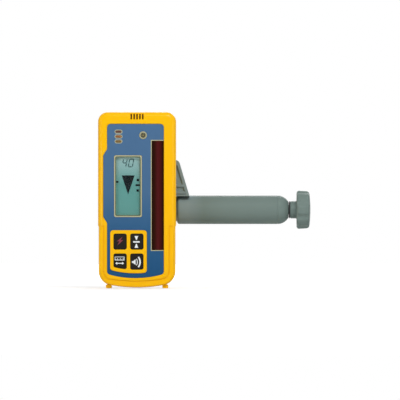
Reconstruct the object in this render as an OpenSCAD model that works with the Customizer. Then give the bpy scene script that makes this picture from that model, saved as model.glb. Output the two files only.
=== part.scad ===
// Laser receiver on its grade-rod clamp.
// x runs to the right across the display, y runs from the display to the back, z runs up.
// Everything is drawn from the middle of the housing's base, at the level of its feet, and then
// moved so that the origin lies on the rod seat, midway between the jaws, level with the on-grade line.

/* [Housing] */
// Width of the housing
housing_w = 76; // [74:1:84]
// Height of the housing, from the crown of its bowed base to its top
housing_h = 170.7; // [168:0.1:180]
// Depth of the housing, from the front rim to the back face
housing_d = 36; // [35:0.5:40]
// Radius of the two top corners
top_corner_r = 9.5; // [8:0.5:12]
// Radius of the two bottom corners
bottom_corner_r = 13.6; // [12:0.1:16]
// Radius of the bowed base
base_bow_r = 143; // [120:1:200]
// Width of the rounded front and back edges, seen from the front
edge_reach = 5.5; // [4:0.1:6]
// Depth of the rounded front and back edges
edge_depth = 5; // [3:0.1:6]
// Wall of the two housing shells
shell_wall = 2.4; // [2:0.1:2.8]
// Depth of the front shell, from the rim to the parting plane
front_shell_d = 16; // [15.5:0.1:17]
// Depth of the step where the narrower hand grip begins
grip_step = 0.6; // [0.2:0.1:1.2]
// Height of the grip's upper end above the feet
grip_top = 61; // [55:0.5:66]
// Drop of the feet below the crown of the base
foot_drop = 0.8; // [0.4:0.1:3]
// Width of a foot
foot_w = 5.8; // [4:0.1:8]
// Length of a foot from front to back
foot_l = 22; // [10:1:26]
// Distance of a foot from the middle of the housing
foot_x = 27.5; // [24:0.1:30]

/* [Front panel] */
// Rim between the housing's left side and the panel
panel_margin_l = 8.8; // [8.6:0.1:10]
// Rim between the housing's right side and the panel
panel_margin_r = 11.9; // [11:0.1:13]
// Rim above the panel
panel_margin_t = 11.5; // [10:0.1:12]
// Rim below the panel, on its middle line
panel_margin_b = 9.1; // [9:0.1:11]
// Radius of the panel's bowed lower edge
panel_bow_r = 97; // [80:1:140]
// Radius of the panel's corners
panel_corner_r = 3.6; // [2:0.1:5]
// How much further left the panel reaches beside the display
panel_bulge = 3.8; // [2:0.1:5]
// Depth of the panel's seat below the rim
panel_recess = 1.2; // [1:0.1:1.5]
// Thickness of the panel overlay
overlay_t = 0.6; // [0.4:0.1:0.8]
// Thickness of the front wall behind the panel
front_wall = 2; // [1.8:0.1:2.4]
// Distance from the panel's left edge to the display lens
display_margin = 7; // [6:0.1:7.5]
// Distance from the display lens to the photocell window
display_gap = 9.7; // [9:0.1:11]
// Distance from the panel's top edge to the display lens
display_drop = 30.7; // [29:0.1:34]
// Width of the photocell window
window_w = 11.8; // [10:0.1:12]
// Distance from the panel's top edge to the photocell window
window_drop = 16.5; // [15:0.1:20]
// Distance from the middle of the panel's lower edge up to the photocell window
window_rise = 27.4; // [24:0.1:30]
// Height of the crown on the photocell window
window_crown = 0.5; // [0.2:0.1:0.8]
// Distance from the panel's left edge to the middle of the indicators
led_margin = 11.2; // [9:0.1:13]
// Distance from the panel's top edge to the upper indicator
led_drop = 7.6; // [6:0.1:9]
// Spacing of the three indicators
led_pitch = 4.75; // [4:0.05:5.2]
// Distance from the panel's right edge to the middle of the strobe sensor
strobe_margin = 20.2; // [19:0.1:22]
// Distance from the panel's top edge to the middle of the strobe sensor
strobe_drop = 11.1; // [9:0.1:12]

/* [Keypad] */
// Distance from the keypad to the photocell window
keypad_gap = 4.8; // [4.5:0.1:6]
// Height of the keypad's upper edge above the middle of the panel's lower edge
keypad_rise = 46.6; // [44:0.1:48]
// Height of an upper key opening
key_h = 15.6; // [14:0.1:16]
// Width of the bar between the key columns
key_gap_x = 3.4; // [3:0.1:4]
// Height of the bar between the key rows
key_gap_z = 3.8; // [3:0.1:4.5]
// Rim of the bezel around the keys
key_rim = 3.2; // [2.6:0.1:3.6]
// Distance from the panel's left edge to the bezel
keypad_margin = 3.1; // [2:0.1:3.5]
// Distance from the display lens down to the bezel
keypad_drop = 13; // [12:0.1:15]
// How far a key can be pressed
key_travel = 0.8; // [0.4:0.1:1]
// How far the bezel stands out of the overlay
bezel_proud = 0.8; // [0.4:0.1:1.2]
// How far a key stands out of the bezel
key_proud = 0.4; // [0.2:0.1:1]

/* [Battery bay] */
// Diameter of a cell
cell_d = 14.5; // [14:0.1:15]
// Length of a cell with its terminal
cell_l = 50.5; // [49:0.1:51]
// Thickness of the battery door
door_t = 2.4; // [2:0.1:2.8]
// Height of the door's lower edge above the feet
door_bottom = 14.3; // [14:0.1:16]

/* [Rod clamp] */
// Radius of the clamp barrel
barrel_r = 14; // [13:0.1:15]
// Length of the barrel, from its free end behind the housing to the end cap's seam
barrel_l = 99.8; // [98:0.1:120]
// Length of the domed end cap
dome_l = 10.7; // [9:0.1:11.5]
// Radius of the dome's rounding
dome_r = 12; // [11.6:0.1:12.6]
// Distance from the barrel's axis back to the flat that the rod rests on
seat_offset = 8; // [7.5:0.1:9]
// Bore of the barrel
barrel_bore_r = 10; // [9.6:0.1:10.4]
// How much further the jaw can open from its resting position
jaw_spread = 13.58; // [8:0.01:16]
// Least jaw opening
jaw_least = 4; // [3:0.1:8]
// Depth of the jaws behind the rod seat
jaw_d = 34; // [30:0.5:40]
// Thickness of a jaw
jaw_t = 9; // [8:0.1:10]
// Depth of the notch in a jaw
notch_d = 4; // [2:0.1:5]
// Thickness of a jaw pad
pad_t = 1.5; // [1:0.1:2]
// Radius of the clamp spindle
spindle_r = 4.5; // [4:0.1:4.8]
// Radius of the clamp knob
knob_r = 18.8; // [16:0.1:21]
// Thickness of the clamp knob
knob_t = 13.6; // [12:0.1:16]
// Number of finger flutes around the clamp knob
knob_flutes = 8; // [5:1:12]
// Radius of the knob's neck
neck_r = 8.5; // [7.5:0.1:9]
// Height of the mounting screw above the on-grade line
mount_rise = 4.6; // [3:0.1:8]
// Height of the gusset above the on-grade line
gusset_rise = 34.6; // [30:0.1:40]
// Reach of the gusset's foot beyond the side of the housing
gusset_foot = 12.8; // [10:0.1:15]
// Reach of the gusset's head beyond the side of the housing
gusset_head = 2.5; // [1:0.1:5]
// Thickness of the mounting plate
plate_t = 7; // [6:0.1:8]
// Radius of the mounting screw
mount_screw_r = 3; // [2.5:0.1:3.2]
// Withdrawal of the mounting screw when it is undone
mount_travel = 7.5; // [6:0.1:8]

/* [Hidden] */
$fn = 48;

// Colours
yellow = [1, 0.72, 0.06];
panel_blue = [0.28, 0.42, 0.57];
display_green = [0.42, 0.6, 0.57];
window_red = [0.27, 0.09, 0.08];
key_black = [0.09, 0.09, 0.1];
clamp_grey = [0.46, 0.51, 0.48];
board_green = [0.1, 0.36, 0.2];
rubber_black = [0.12, 0.12, 0.12];
lens_red = [0.5, 0.12, 0.06];
lens_orange = [0.6, 0.32, 0.06];
lens_amber = [0.45, 0.36, 0.08];
lens_smoke = [0.3, 0.28, 0.14];
cell_gold = [0.75, 0.55, 0.2];
steel = [0.72, 0.73, 0.75];
brass = [0.78, 0.62, 0.3];
pale = [0.86, 0.85, 0.78];

// Clearances and the overrun of every cut
fit = 0.15;
run_gap = 0.3;
shaft_gap = 0.06;
over = 0.5;

// Fineness of the rounded outlines
corner_steps = 8;
edge_steps = 6;
bow_steps = 10;
keypad_steps = 6;
key_steps = 3;
small_steps = 5;

// Heights and depths of the housing
base_z = foot_drop;
top_z = base_z + housing_h;
front_y = -housing_d / 2;
back_y = housing_d / 2;
parting_y = front_y + front_shell_d;
seat_y = front_y + panel_recess;
overlay_y = seat_y - overlay_t;
inner_y = seat_y + front_wall;
half_w = housing_w / 2;
grip_w = half_w - grip_step;
grip_bevel = 2 * grip_step;
edge_crease = 0.1;
foot_root = 5;
foot_r = 1.2;

// Edges of the panel and what lies on it
panel_l = -half_w + panel_margin_l;
panel_r = half_w - panel_margin_r;
panel_t = top_z - panel_margin_t;
panel_b = base_z + panel_margin_b;
panel_mid = (panel_l + panel_r) / 2;
bulge_slope = 6;
bulge_r = 1.5;
rim_bevel = 0.8;
window_x = panel_r - window_w / 2;
window_h = panel_t - window_drop - panel_b - window_rise;
on_grade_z = panel_b + window_rise + window_h / 2;
keypad_l = panel_l + keypad_margin;
keypad_w = panel_r - window_w - keypad_gap - keypad_l;
keypad_t = panel_b + keypad_rise;
key_w = (keypad_w - key_gap_x) / 2 - key_rim;
display_w = panel_r - window_w - display_gap - panel_l - display_margin;
display_t = panel_t - display_drop;
display_b = keypad_t + keypad_drop;
display_h = display_t - display_b;
display_x = panel_l + display_margin + display_w / 2;
display_z = (display_t + display_b) / 2;
display_r = 1.6;
display_ledge = 1.4;
lens_t = 1.6;
window_ledge = 1.2;
window_seat_t = 1;
keypad_lift = 4.7;
keypad_r = 3;
key_r = 2;
key_low_rim = 3.5;
key_lift = keypad_lift + key_low_rim;
flange_over = 0.8;
flange_t = 0.9;
actuator_r = 2;
bezel_y = overlay_y - bezel_proud;
key_y = bezel_y - key_proud;

// Boards and what they carry
standoff = 5.8;
board_y = inner_y + standoff;
board_t = 1.6;
board_r = 1.5;
board_back_y = board_y + board_t;
board_side = 4.6;
board_gap = 1;
board_low = 9.6;
board_high = 3;
diode_board_w = 13.4;
main_board_l = display_x - display_w / 2 - board_side;
main_board_r = window_x - diode_board_w / 2 - board_gap;
main_board_b = panel_b + board_low;
main_board_t = panel_t + board_high;
diode_board_over = 10;
diode_count = 12;
diode_size = [5, 2, 6];
diode_end = 6;
board_screw_r = 1;
board_screw_head_r = 2.2;
board_screw_head_t = 1.5;
board_boss_r = 2.6;
board_boss_inset = 2.8;
board_screw_rise = 5.5;
lower_board_screw_z = keypad_t + board_screw_rise;
switch_w = 6;
plunger_r = 1.7;
plunger_t = 0.6;
beeper_r = 4;
beeper_t = 5;
beeper_edge = 0.5;
beeper_x = (main_board_l + main_board_r) / 2;
beeper_z = main_board_t - beeper_r - beeper_edge;
slot_count = 5;
slot_w = 1.2;
slot_pitch = 2.8;
slot_h = 5.6;
slot_margin = 1.6;
slot_top = top_z - slot_margin;
membrane_t = 0.4;
led_x = panel_l + led_margin;
led_size = [6, 2.2];
led_top_z = panel_t - led_drop;
led_flange = 0.7;
led_chip = [2, 1, 1.2];
led_gap = 0.3;
strobe_x = panel_r - strobe_margin;
strobe_z = panel_t - strobe_drop;
strobe_ring_r = 3.7;
strobe_r = 2.25;
strobe_flange_r = 3;
strobe_proud = 0.5;
strobe_diode_r = 2.5;
carrier_wall = 1.6;
glass_over = 0.6;
glass_t = 2.2;
glass_seat = 1.2;
zebra_w = 2;
link_size = [14, 0.3, 8];

// Battery bay
bay_wall = 2;
bay_floor_t = 1.6;
bay_play = 0.3;
contact_room = 3.6;
bay_w = cell_l + 2 * contact_room + 2 * bay_play;
bay_h = 2 * cell_d + 3 * bay_play;
door_lip = 1.2;
bay_b = door_bottom + door_lip;
door_w = bay_w + 2 * door_lip;
seal_t = 0.6;
seal_w = 0.8;
door_in_y = back_y - door_t;
seal_y = door_in_y - fit - seal_t;
bay_floor_y = seal_y - cell_d - bay_play;
cell_y = bay_floor_y + bay_play / 2 + cell_d / 2;
cell_cap_r = 2.75;
cell_cap_t = 1.3;
contact_t = 0.4;
contact_w = 9;
hinge_r = 2.2;
hinge_room = 0.4;
hinge_pin_r = 0.9;
hinge_y = back_y - hinge_r - hinge_room / 2;
hinge_z = bay_b + bay_h + bay_wall + hinge_r + hinge_room;
knuckle_l = 8;
knuckle_x = bay_w / 2 - knuckle_l;
nail_r = 7;
nail_d = 1.6;
nail_ball_r = (pow(nail_r, 2) + pow(nail_d, 2)) / (2 * nail_d);

// Screws that close the housing
boss_r = 3.2;
boss_bore_r = 1.6;
pilot_r = 1.2;
pilot_l = 8;
shell_screw_r = 1.15;
shell_screw_head_r = 2.7;
shell_screw_head_t = 2.2;
counterbore_r = 3;
counterbore_d = 10;
top_screw_in = 8.2;
top_screw_drop = 8.8;
side_screw_in = 5.7;
side_screw_drop = 3;
base_screw_in = 18;
base_screw_rise = 7.5;
shell_screw_places = [
    [half_w - top_screw_in, top_z - top_screw_drop],
    [half_w - side_screw_in, grip_top - side_screw_drop],
    [half_w - base_screw_in, base_z + base_screw_rise]
];
gasket_in = 0.7;
gasket_w = 0.9;
gasket_t = 1;

// Clamp: the barrel, its axis and the jaws
clamp_gap = 0.1;
plate_y = back_y + clamp_gap;
plate_back_y = plate_y + plate_t;
barrel_y = plate_y + barrel_r;
barrel_z = on_grade_z - barrel_r;
barrel_tuck = 0.6;
barrel_x = half_w - barrel_tuck;
seam_x = barrel_x + barrel_l;
dome_x = seam_x + dome_l;
cone_l = 2.6;
cone_r = 9.6;
root_l = 6;
rod_seat_y = barrel_y + seat_offset;
seat_run = 4;
jaw_clear = 0.65;
jaw_h = 2 * (barrel_r - jaw_clear);
fixed_jaw_reach = 17.2;
fixed_face_x = barrel_x + fixed_jaw_reach;
gap_l = fixed_face_x + pad_t;
notch_w = 20;
jaw_chamfer = 5;
pad_margin = 2;
pad_h = jaw_h - 2 * pad_margin;
pad_over = 5;
barrel_end_wall = 8.6;
bore_x = barrel_x + barrel_end_wall;
spigot_l = 6;
bush_r = 6;
bush_flange_r = 7;
bush_flange_t = 1;
pilot_end_r = 3;
pilot_end_l = 4;
clip_r = 7;
clip_t = 1.2;
washer_r = 8;
washer_t = 1;
washer_x = seam_x - spigot_l - bush_flange_t - shaft_gap - washer_t;
clip_x = washer_x - shaft_gap - clip_t;
carriage_l = 20;
carriage_lead = 3.6;
carriage_end = clip_x - run_gap - jaw_spread;
carriage_x = carriage_end - carriage_l;
sliding_face_x = carriage_x + carriage_lead;
gap_r = sliding_face_x - pad_t;
gap_mid = (gap_l + gap_r) / 2;
jaw_opening = gap_r - gap_l;
web_w = 8.4;
web_l = 16;
web_x = carriage_x + (carriage_l - web_l) / 2;
nut_r = 7;
nut_l = 14;
slot_room = 1.5;
slot_start = web_x - jaw_opening + jaw_least - slot_room;
slot_end = web_x + web_l + jaw_spread + slot_room;
knob_gap = 1.4;
neck_l = 6.4;
neck_x = dome_x + knob_gap;
knob_edge = 3;
knob_rim = 2.4;
knob_crown = 1.4;
crown_shares = [0.75, 0.5, 0.25];
neck_seal_in = 0.2;
flute_r = 6;
flute_d = 1.5;
shank_r = 3.5;
shank_l = 16;
knob_pin_r = 1.2;

// Clamp: the mounting plate and its screw
mount_z = on_grade_z + mount_rise;
plate_reach = 18;
plate_half = 17;
plate_corner = 13;
gusset_top_z = on_grade_z + gusset_rise;
gusset_foot_x = half_w + gusset_foot;
gusset_head_x = half_w + gusset_head;
gusset_r = 4.5;
gusset_rim = 3;
gusset_pocket = 2;
gusset_rib = 1.8;
gusset_rib_shares = [0.075, 0.275];
plate_low = 6.4;
plate_low_z = barrel_z - plate_low;
gusset_lip = 0.9;
gusset_low_z = on_grade_z - gusset_lip;
plate_rib_rise = 6;
plate_rib_z = on_grade_z + plate_rib_rise;
root_web_t = 4;
root_web_x = barrel_x + 2 * cone_l;
boss_out_r = 11;
boss_out_t = 6;
boss_face_y = plate_back_y + boss_out_t;
clip_bore_r = 6.5;
clip_ring_r = 5.5;
clip_ring_t = 1;
clip_front = 0.4;
insert_r = 4.5;
insert_l = 10;
mount_boss_r = 7.5;
mount_boss_l = 13;
mount_reach = 7;
thumb_r = 11;
thumb_t = 10;
thumb_flutes = 10;
thumb_flute_r = 2.5;
thumb_flute_d = 1.1;
thumb_edge = 1.2;
dimple_x = 13;
dimple_r = 2.2;
dimple_d = 1.8;
dimple_tip_r = 0.3;

// Where the origin lies
datum = [gap_mid, rod_seat_y, on_grade_z];

// Points along an arc from one angle to another
function arc(centre, r, from, to, steps) =
    [for (i = [0:steps]) let (a = from + (to - from) * i / steps) centre + r * [cos(a), sin(a)]];

function unit(v) = v / norm(v);
function left_of(v) = [-v.y, v.x];
function turned(v, a) = [v.x * cos(a) - v.y * sin(a), v.x * sin(a) + v.y * cos(a)];
function at(list, i) = list[(i + len(list)) % len(list)];

// A closed outline, counter-clockwise, moved inwards by d
function inset(points, d) = [for (i = [0:len(points) - 1]) let (
    a = left_of(unit(at(points, i) - at(points, i - 1))),
    b = left_of(unit(at(points, i + 1) - at(points, i)))
) points[i] + (a + b) * d / (1 + a * b)];

// A closed outline with each corner rounded by its own radius
function rounded(points, radii, steps) = [for (i = [0:len(points) - 1]) let (
    a = unit(at(points, i) - at(points, i - 1)),
    b = unit(at(points, i + 1) - at(points, i)),
    side = sign(a.x * b.y - a.y * b.x),
    r = radii[i],
    na = left_of(a),
    nb = left_of(b),
    centre = points[i] + side * r * (na + nb) / (1 + na * nb),
    bend = acos(min(1, a * b))
) each r > 0 && side != 0
    ? [for (k = [0:steps]) centre - side * r * turned(na, side * bend * k / steps)]
    : [points[i]]];

function box_points(w, h, c) = [
    c + [-w, -h] / 2, c + [w, -h] / 2, c + [w, h] / 2, c + [-w, h] / 2
];
function round_box(w, h, c, r) = rounded(box_points(w, h, c), [r, r, r, r], small_steps);

// Draws an outline in x and z and carries it from one depth to another
module slab(y0, y1) translate([0, y1, 0]) rotate([90, 0, 0]) linear_extrude(y1 - y0) children();
module rod_y(x, z, r, y0, y1) translate([x, y1, z]) rotate([90, 0, 0]) cylinder(r = r, h = y1 - y0);
module rod_x(y, z, r, x0, x1) translate([x0, y, z]) rotate([0, 90, 0]) cylinder(r = r, h = x1 - x0);
module block(x0, x1, y0, y1, z0, z1) translate([x0, y0, z0]) cube([x1 - x0, y1 - y0, z1 - z0]);
// Turns a profile of radius and length round the barrel's axis, with its length along x
module turned_x(x) translate([x, barrel_y, barrel_z]) rotate([0, 90, 0]) rotate_extrude() children();

// A skin over outlines of equal length, from the front one to the back one
module loft(rings) {
    n = len(rings[0]);
    m = len(rings);
    polyhedron(
        points = [for (ring = rings) each ring],
        faces = concat(
            [[for (i = [n - 1:-1:0]) i]],
            [for (k = [0:m - 2], i = [0:n - 1]) let (j = (i + 1) % n) each [
                [k * n + i, k * n + j, (k + 1) * n + j],
                [k * n + i, (k + 1) * n + j, (k + 1) * n + i]
            ]],
            [[for (i = [0:n - 1]) (m - 1) * n + i]]
        )
    );
}
function ring(points, y) = [for (p = points) [p.x, y, p.y]];

// The housing seen from the front: bowed base, round corners and a narrower grip below
corner_x = grip_w - bottom_corner_r;
bow_centre_z = base_z + base_bow_r;
corner_z = bow_centre_z - sqrt(pow(base_bow_r - bottom_corner_r, 2) - pow(corner_x, 2));
corner_a = atan2(corner_z - bow_centre_z, corner_x);
function housing_outline(d) = let (
    side = half_w - top_corner_r,
    high = top_z - top_corner_r,
    right = concat(
        arc([corner_x, corner_z], bottom_corner_r - d, corner_a, 0, corner_steps),
        [[grip_w - d, grip_top - grip_bevel], [half_w - d, grip_top]],
        arc([side, high], top_corner_r - d, 0, 90, corner_steps)
    ),
    count = len(right)
) concat(
    [for (i = [1:bow_steps - 1]) let (a = 180 - corner_a + (2 * corner_a + 180) * i / bow_steps)
        [0, bow_centre_z] + (base_bow_r - d) * [cos(a), sin(a)]],
    right,
    [for (i = [count - 1:-1:0]) [-right[i].x, right[i].y]]
);

// Rounded edge of a shell: outlines that step outwards from just beyond the flat face
function edge_rings(face_y, inward) = [for (i = [0:edge_steps]) let (a = 90 * i / edge_steps) ring(
    housing_outline(edge_reach * (1 - sin(a))), face_y + inward * (edge_depth * (1 - cos(a)) - edge_crease))];
// Keeps what lies between two depths, so that flat faces are single planes
module between(y0, y1) intersection() {
    children();
    block(-housing_w, housing_w, y0, y1, -housing_h, 2 * housing_h);
}

module front_body() between(front_y, parting_y)
    loft(concat(edge_rings(front_y, 1), [ring(housing_outline(0), parting_y + over)]));
module rear_body() between(parting_y, back_y) {
    rings = edge_rings(back_y, -1);
    loft(concat([ring(housing_outline(0), parting_y - over)], [for (i = [edge_steps:-1:0]) rings[i]]));
}

// Height of the panel's bowed lower edge, or of a line parallel to it and higher by lift
function bow(x, lift) = panel_b + panel_bow_r - sqrt(pow(panel_bow_r - lift, 2) - pow(x - panel_mid, 2));
function bow_line(x0, x1, lift, steps) =
    [for (i = [0:steps]) let (x = x0 + (x1 - x0) * i / steps) [x, bow(x, lift)]];

// The panel: bowed below, and wider on the left beside the display
panel_low = bow_line(panel_l, panel_r, 0, bow_steps);
panel_high = [[panel_r, panel_t], [panel_l, panel_t]];
bulge = [
    [panel_l, display_t + bulge_slope], [panel_l - panel_bulge, display_t],
    [panel_l - panel_bulge, display_b], [panel_l, display_b - bulge_slope]
];
bulge_root = [[panel_mid, display_b - bulge_slope], [panel_mid, display_t + bulge_slope]];
function bow_radii(r, steps) = concat([r], [for (i = [1:steps - 1]) 0], [r]);
function bulge_radii(d) = [0, bulge_r - d, bulge_r - d, 0];
function panel_radii(d) = let (r = panel_corner_r - d) concat(bow_radii(r, bow_steps), [r, r]);
function panel_outline(d) = rounded(inset(concat(panel_low, panel_high, bulge), d),
    concat(panel_radii(d), bulge_radii(d)), small_steps);
// Its two plain halves, for the bevelled seat in the shell
function main_outline(d) = rounded(inset(concat(panel_low, panel_high), d), panel_radii(d), small_steps);
function bulge_outline(d) = rounded(inset(concat(bulge_root, bulge), d),
    concat([0, 0], bulge_radii(d)), small_steps);

// Openings that the overlay, the shell and the pieces in them share
function display_outline(d) =
    round_box(display_w - 2 * d, display_h - 2 * d, [display_x, display_z], display_r);
function window_outline(d) = box_points(window_w - 2 * d, window_h - 2 * d, [window_x, on_grade_z]);
function led_outline(i, d) =
    round_box(led_size.x - 2 * d, led_size.y - 2 * d, [led_x, led_top_z - i * led_pitch], led_size.y / 2 - d);

// The keypad: a bezel with two columns and two rows, bowed like the panel below
function keypad_outline(d) = let (
    corners = concat(
        bow_line(keypad_l, keypad_l + keypad_w, keypad_lift, keypad_steps),
        [[keypad_l + keypad_w, keypad_t], [keypad_l, keypad_t]]
    ),
    soft = keypad_r - d
) rounded(inset(corners, d), concat(bow_radii(soft, keypad_steps), [soft, soft]), small_steps);
function key_l(col) = keypad_l + key_rim + col * (key_w + key_gap_x);
function key_t(row) = keypad_t - key_rim - row * (key_h + key_gap_z);
function key_outline(col, row, d) = let (
    l = key_l(col),
    r = l + key_w,
    t = key_t(row),
    low = row == 0 ? [[l, t - key_h], [r, t - key_h]] : bow_line(l, r, key_lift, key_steps),
    corners = concat(low, [[r, t], [l, t]]),
    soft = max(key_r - d, 0),
    radii = concat([soft], [for (i = [2:len(low) - 1]) 0], [soft, soft, soft])
) rounded(inset(corners, d), radii, small_steps);
function key_middle(col, row) = [key_l(col) + key_w / 2,
    row == 0 ? key_t(0) - key_h / 2 : (key_t(1) + bow(key_l(col) + key_w / 2, key_lift)) / 2];

// Screws between the two shells, mirrored to both sides
module each_shell_screw() for (p = shell_screw_places, s = [-1, 1]) translate([s * p.x, 0, p.y]) children();
board_screw_places = [
    [main_board_l + board_boss_inset, main_board_t - board_boss_inset],
    [main_board_r - board_boss_inset, main_board_t - board_boss_inset],
    [main_board_l + board_boss_inset, lower_board_screw_z],
    [main_board_r - board_boss_inset, lower_board_screw_z],
    [window_x, on_grade_z + window_h / 2 + diode_board_over - board_boss_inset],
    [window_x, on_grade_z - window_h / 2 - diode_board_over + board_boss_inset]
];

module feet(y0, y1) for (s = [-1, 1]) slab(y0, y1)
    polygon(round_box(foot_w, foot_root + foot_drop, [s * foot_x, (foot_root + foot_drop) / 2], foot_r));

module panel_seat(wide, narrow) between(front_y - 2 * over, seat_y)
    loft([ring(wide, front_y - over), ring(narrow, front_y + rim_bevel), ring(narrow, seat_y + over)]);

// Front half of the housing: rim, panel seat, openings, bosses and the sound slots
module front_shell() color(yellow) {
    difference() {
        union() {
            front_body();
            feet(parting_y - foot_l / 2, parting_y);
        }
        slab(inner_y, parting_y + over) polygon(housing_outline(shell_wall));
        panel_seat(main_outline(-rim_bevel - over), main_outline(0));
        panel_seat(bulge_outline(-rim_bevel - over), bulge_outline(0));
        slab(seat_y - over, overlay_y + lens_t) polygon(display_outline(-fit));
        slab(seat_y, inner_y + over) polygon(display_outline(display_ledge));
        slab(seat_y - over, seat_y + window_seat_t) polygon(window_outline(-fit));
        slab(seat_y, inner_y + over) polygon(window_outline(window_ledge));
        for (col = [0, 1], row = [0, 1])
            slab(seat_y - over, inner_y + over) polygon(key_outline(col, row, 0));
        for (i = [0:2]) slab(seat_y - over, inner_y + over) polygon(led_outline(i, -fit));
        rod_y(strobe_x, strobe_z, strobe_ring_r + fit, seat_y - over, seat_y + window_seat_t);
        rod_y(strobe_x, strobe_z, strobe_r + fit, seat_y, inner_y + over);
        for (i = [0:slot_count - 1]) translate([(i - (slot_count - 1) / 2) * slot_pitch, 0, 0])
            block(-slot_w / 2, slot_w / 2, front_y - over, inner_y + over, slot_top - slot_h, slot_top);
    }
    difference() {
        intersection() {
            each_shell_screw() rod_y(0, 0, boss_r, inner_y - over, parting_y);
            slab(inner_y - over, parting_y) polygon(housing_outline(shell_wall / 2));
        }
        each_shell_screw() rod_y(0, 0, pilot_r, parting_y - pilot_l, parting_y + over);
    }
    difference() {
        for (p = board_screw_places) rod_y(p.x, p.y, board_boss_r, inner_y - over, board_y);
        for (p = board_screw_places) rod_y(p.x, p.y, board_screw_r, inner_y + over, board_y + over);
    }
}

module battery_space() {
    block(-bay_w / 2, bay_w / 2, bay_floor_y, back_y + over, bay_b, bay_b + bay_h);
    block(-door_w / 2 - run_gap, door_w / 2 + run_gap, seal_y, back_y + over, door_bottom - run_gap, hinge_z);
    rod_x(hinge_y, hinge_z, hinge_r + hinge_room, -door_w / 2 - run_gap, door_w / 2 + run_gap);
    block(-door_w / 2 - run_gap, door_w / 2 + run_gap, hinge_y, back_y + over,
        hinge_z - over, hinge_z + hinge_r + hinge_room);
    translate([0, back_y - nail_d + nail_ball_r, door_bottom - run_gap]) sphere(r = nail_ball_r);
}

// Back half of the housing: battery bay, hinge, clamp boss and screw bosses
module rear_shell() color(yellow) {
    difference() {
        union() {
            difference() {
                union() {
                    rear_body();
                    feet(parting_y, parting_y + foot_l / 2);
                }
                slab(parting_y - over, back_y - shell_wall) polygon(housing_outline(shell_wall));
            }
            block(-bay_w / 2 - bay_wall, bay_w / 2 + bay_wall, bay_floor_y - bay_floor_t, back_y - shell_wall,
                bay_b - bay_wall, hinge_z + hinge_r + hinge_room + bay_wall);
            intersection() {
                each_shell_screw() rod_y(0, 0, boss_r + bay_wall / 2, parting_y, back_y - shell_wall);
                slab(parting_y, back_y) polygon(housing_outline(shell_wall / 2));
            }
            rod_y(0, mount_z, mount_boss_r, back_y - mount_boss_l, back_y - shell_wall);
        }
        battery_space();
        each_shell_screw() rod_y(0, 0, boss_bore_r, parting_y - over, back_y - counterbore_d + over);
        each_shell_screw() rod_y(0, 0, counterbore_r, back_y - counterbore_d, back_y + over);
        rod_y(0, mount_z, insert_r + fit, back_y - insert_l, back_y + over);
        rod_y(0, mount_z, mount_screw_r + run_gap, back_y - mount_boss_l + bay_wall, back_y);
        for (s = [-1, 1]) translate([s * dimple_x, back_y + over, mount_z]) rotate([90, 0, 0])
            cylinder(r1 = dimple_r * (1 + over / dimple_d), r2 = 0, h = dimple_d + over);
        slab(parting_y - over, parting_y + gasket_t) difference() {
            polygon(housing_outline(gasket_in));
            polygon(housing_outline(gasket_in + gasket_w));
        }
    }
    for (s = [-1, 1]) difference() {
        knuckle_l_x = s * (knuckle_x + knuckle_l / 2) - knuckle_l / 2;
        union() {
            rod_x(hinge_y, hinge_z, hinge_r, knuckle_l_x, knuckle_l_x + knuckle_l);
            block(knuckle_l_x, knuckle_l_x + knuckle_l, hinge_y - hinge_r, hinge_y,
                hinge_z, hinge_z + hinge_r + hinge_room + bay_wall / 2);
        }
        rod_x(hinge_y, hinge_z, hinge_pin_r + shaft_gap, -bay_w, bay_w);
    }
}

module shell_gasket() color(rubber_black) slab(parting_y, parting_y + gasket_t) difference() {
    polygon(housing_outline(gasket_in));
    polygon(housing_outline(gasket_in + gasket_w));
}

module shell_screws() color(steel) each_shell_screw() {
    rod_y(0, 0, shell_screw_r, parting_y - pilot_l + over, back_y - counterbore_d + over);
    rod_y(0, 0, shell_screw_head_r, back_y - counterbore_d, back_y - counterbore_d + shell_screw_head_t);
}

module face_overlay() color(panel_blue) slab(overlay_y, seat_y) difference() {
    polygon(panel_outline(fit));
    polygon(display_outline(-fit));
    polygon(box_points(window_w + 2 * over, window_h + 2 * fit, [window_x + over - fit, on_grade_z]));
    polygon(keypad_outline(-fit));
    for (i = [0:2]) polygon(led_outline(i, -fit));
    translate([strobe_x, strobe_z]) circle(r = strobe_ring_r + fit);
}

module lcd_lens() color(pale, 0.4) slab(overlay_y, overlay_y + lens_t) polygon(display_outline(0));

module lcd_glass() color(display_green) slab(inner_y + fit, inner_y + fit + glass_t)
    polygon(display_outline(-glass_over));

// White frame that holds the display glass off the board
module lcd_carrier() color(pale) difference() {
    slab(inner_y + fit + glass_t - glass_seat, board_y)
        polygon(display_outline(-glass_over - fit - carrier_wall));
    slab(inner_y, inner_y + fit + glass_t) polygon(display_outline(-glass_over - fit));
    slab(inner_y, board_y + over) polygon(display_outline(carrier_wall));
}

module zebra_strips() color(rubber_black) for (s = [-1, 1])
    slab(inner_y + fit + glass_t, board_y) polygon(box_points(display_w - 4 * carrier_wall, zebra_w,
        [display_x, display_z + s * (display_h / 2 - carrier_wall - zebra_w / 2 - fit)]));

// Red filter bar with a gently crowned front
module photocell_window() color(window_red) {
    crown_r = (pow(window_w / 2, 2) + pow(window_crown, 2)) / (2 * window_crown);
    crown_a = asin(window_w / 2 / crown_r);
    back = seat_y + window_seat_t;
    translate([window_x, 0, on_grade_z - window_h / 2]) linear_extrude(window_h) polygon(concat(
        arc([0, overlay_y + crown_r - window_crown], crown_r, 270 - crown_a, 270 + crown_a, corner_steps),
        [[window_w / 2, back], [-window_w / 2, back]]
    ));
}

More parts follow.
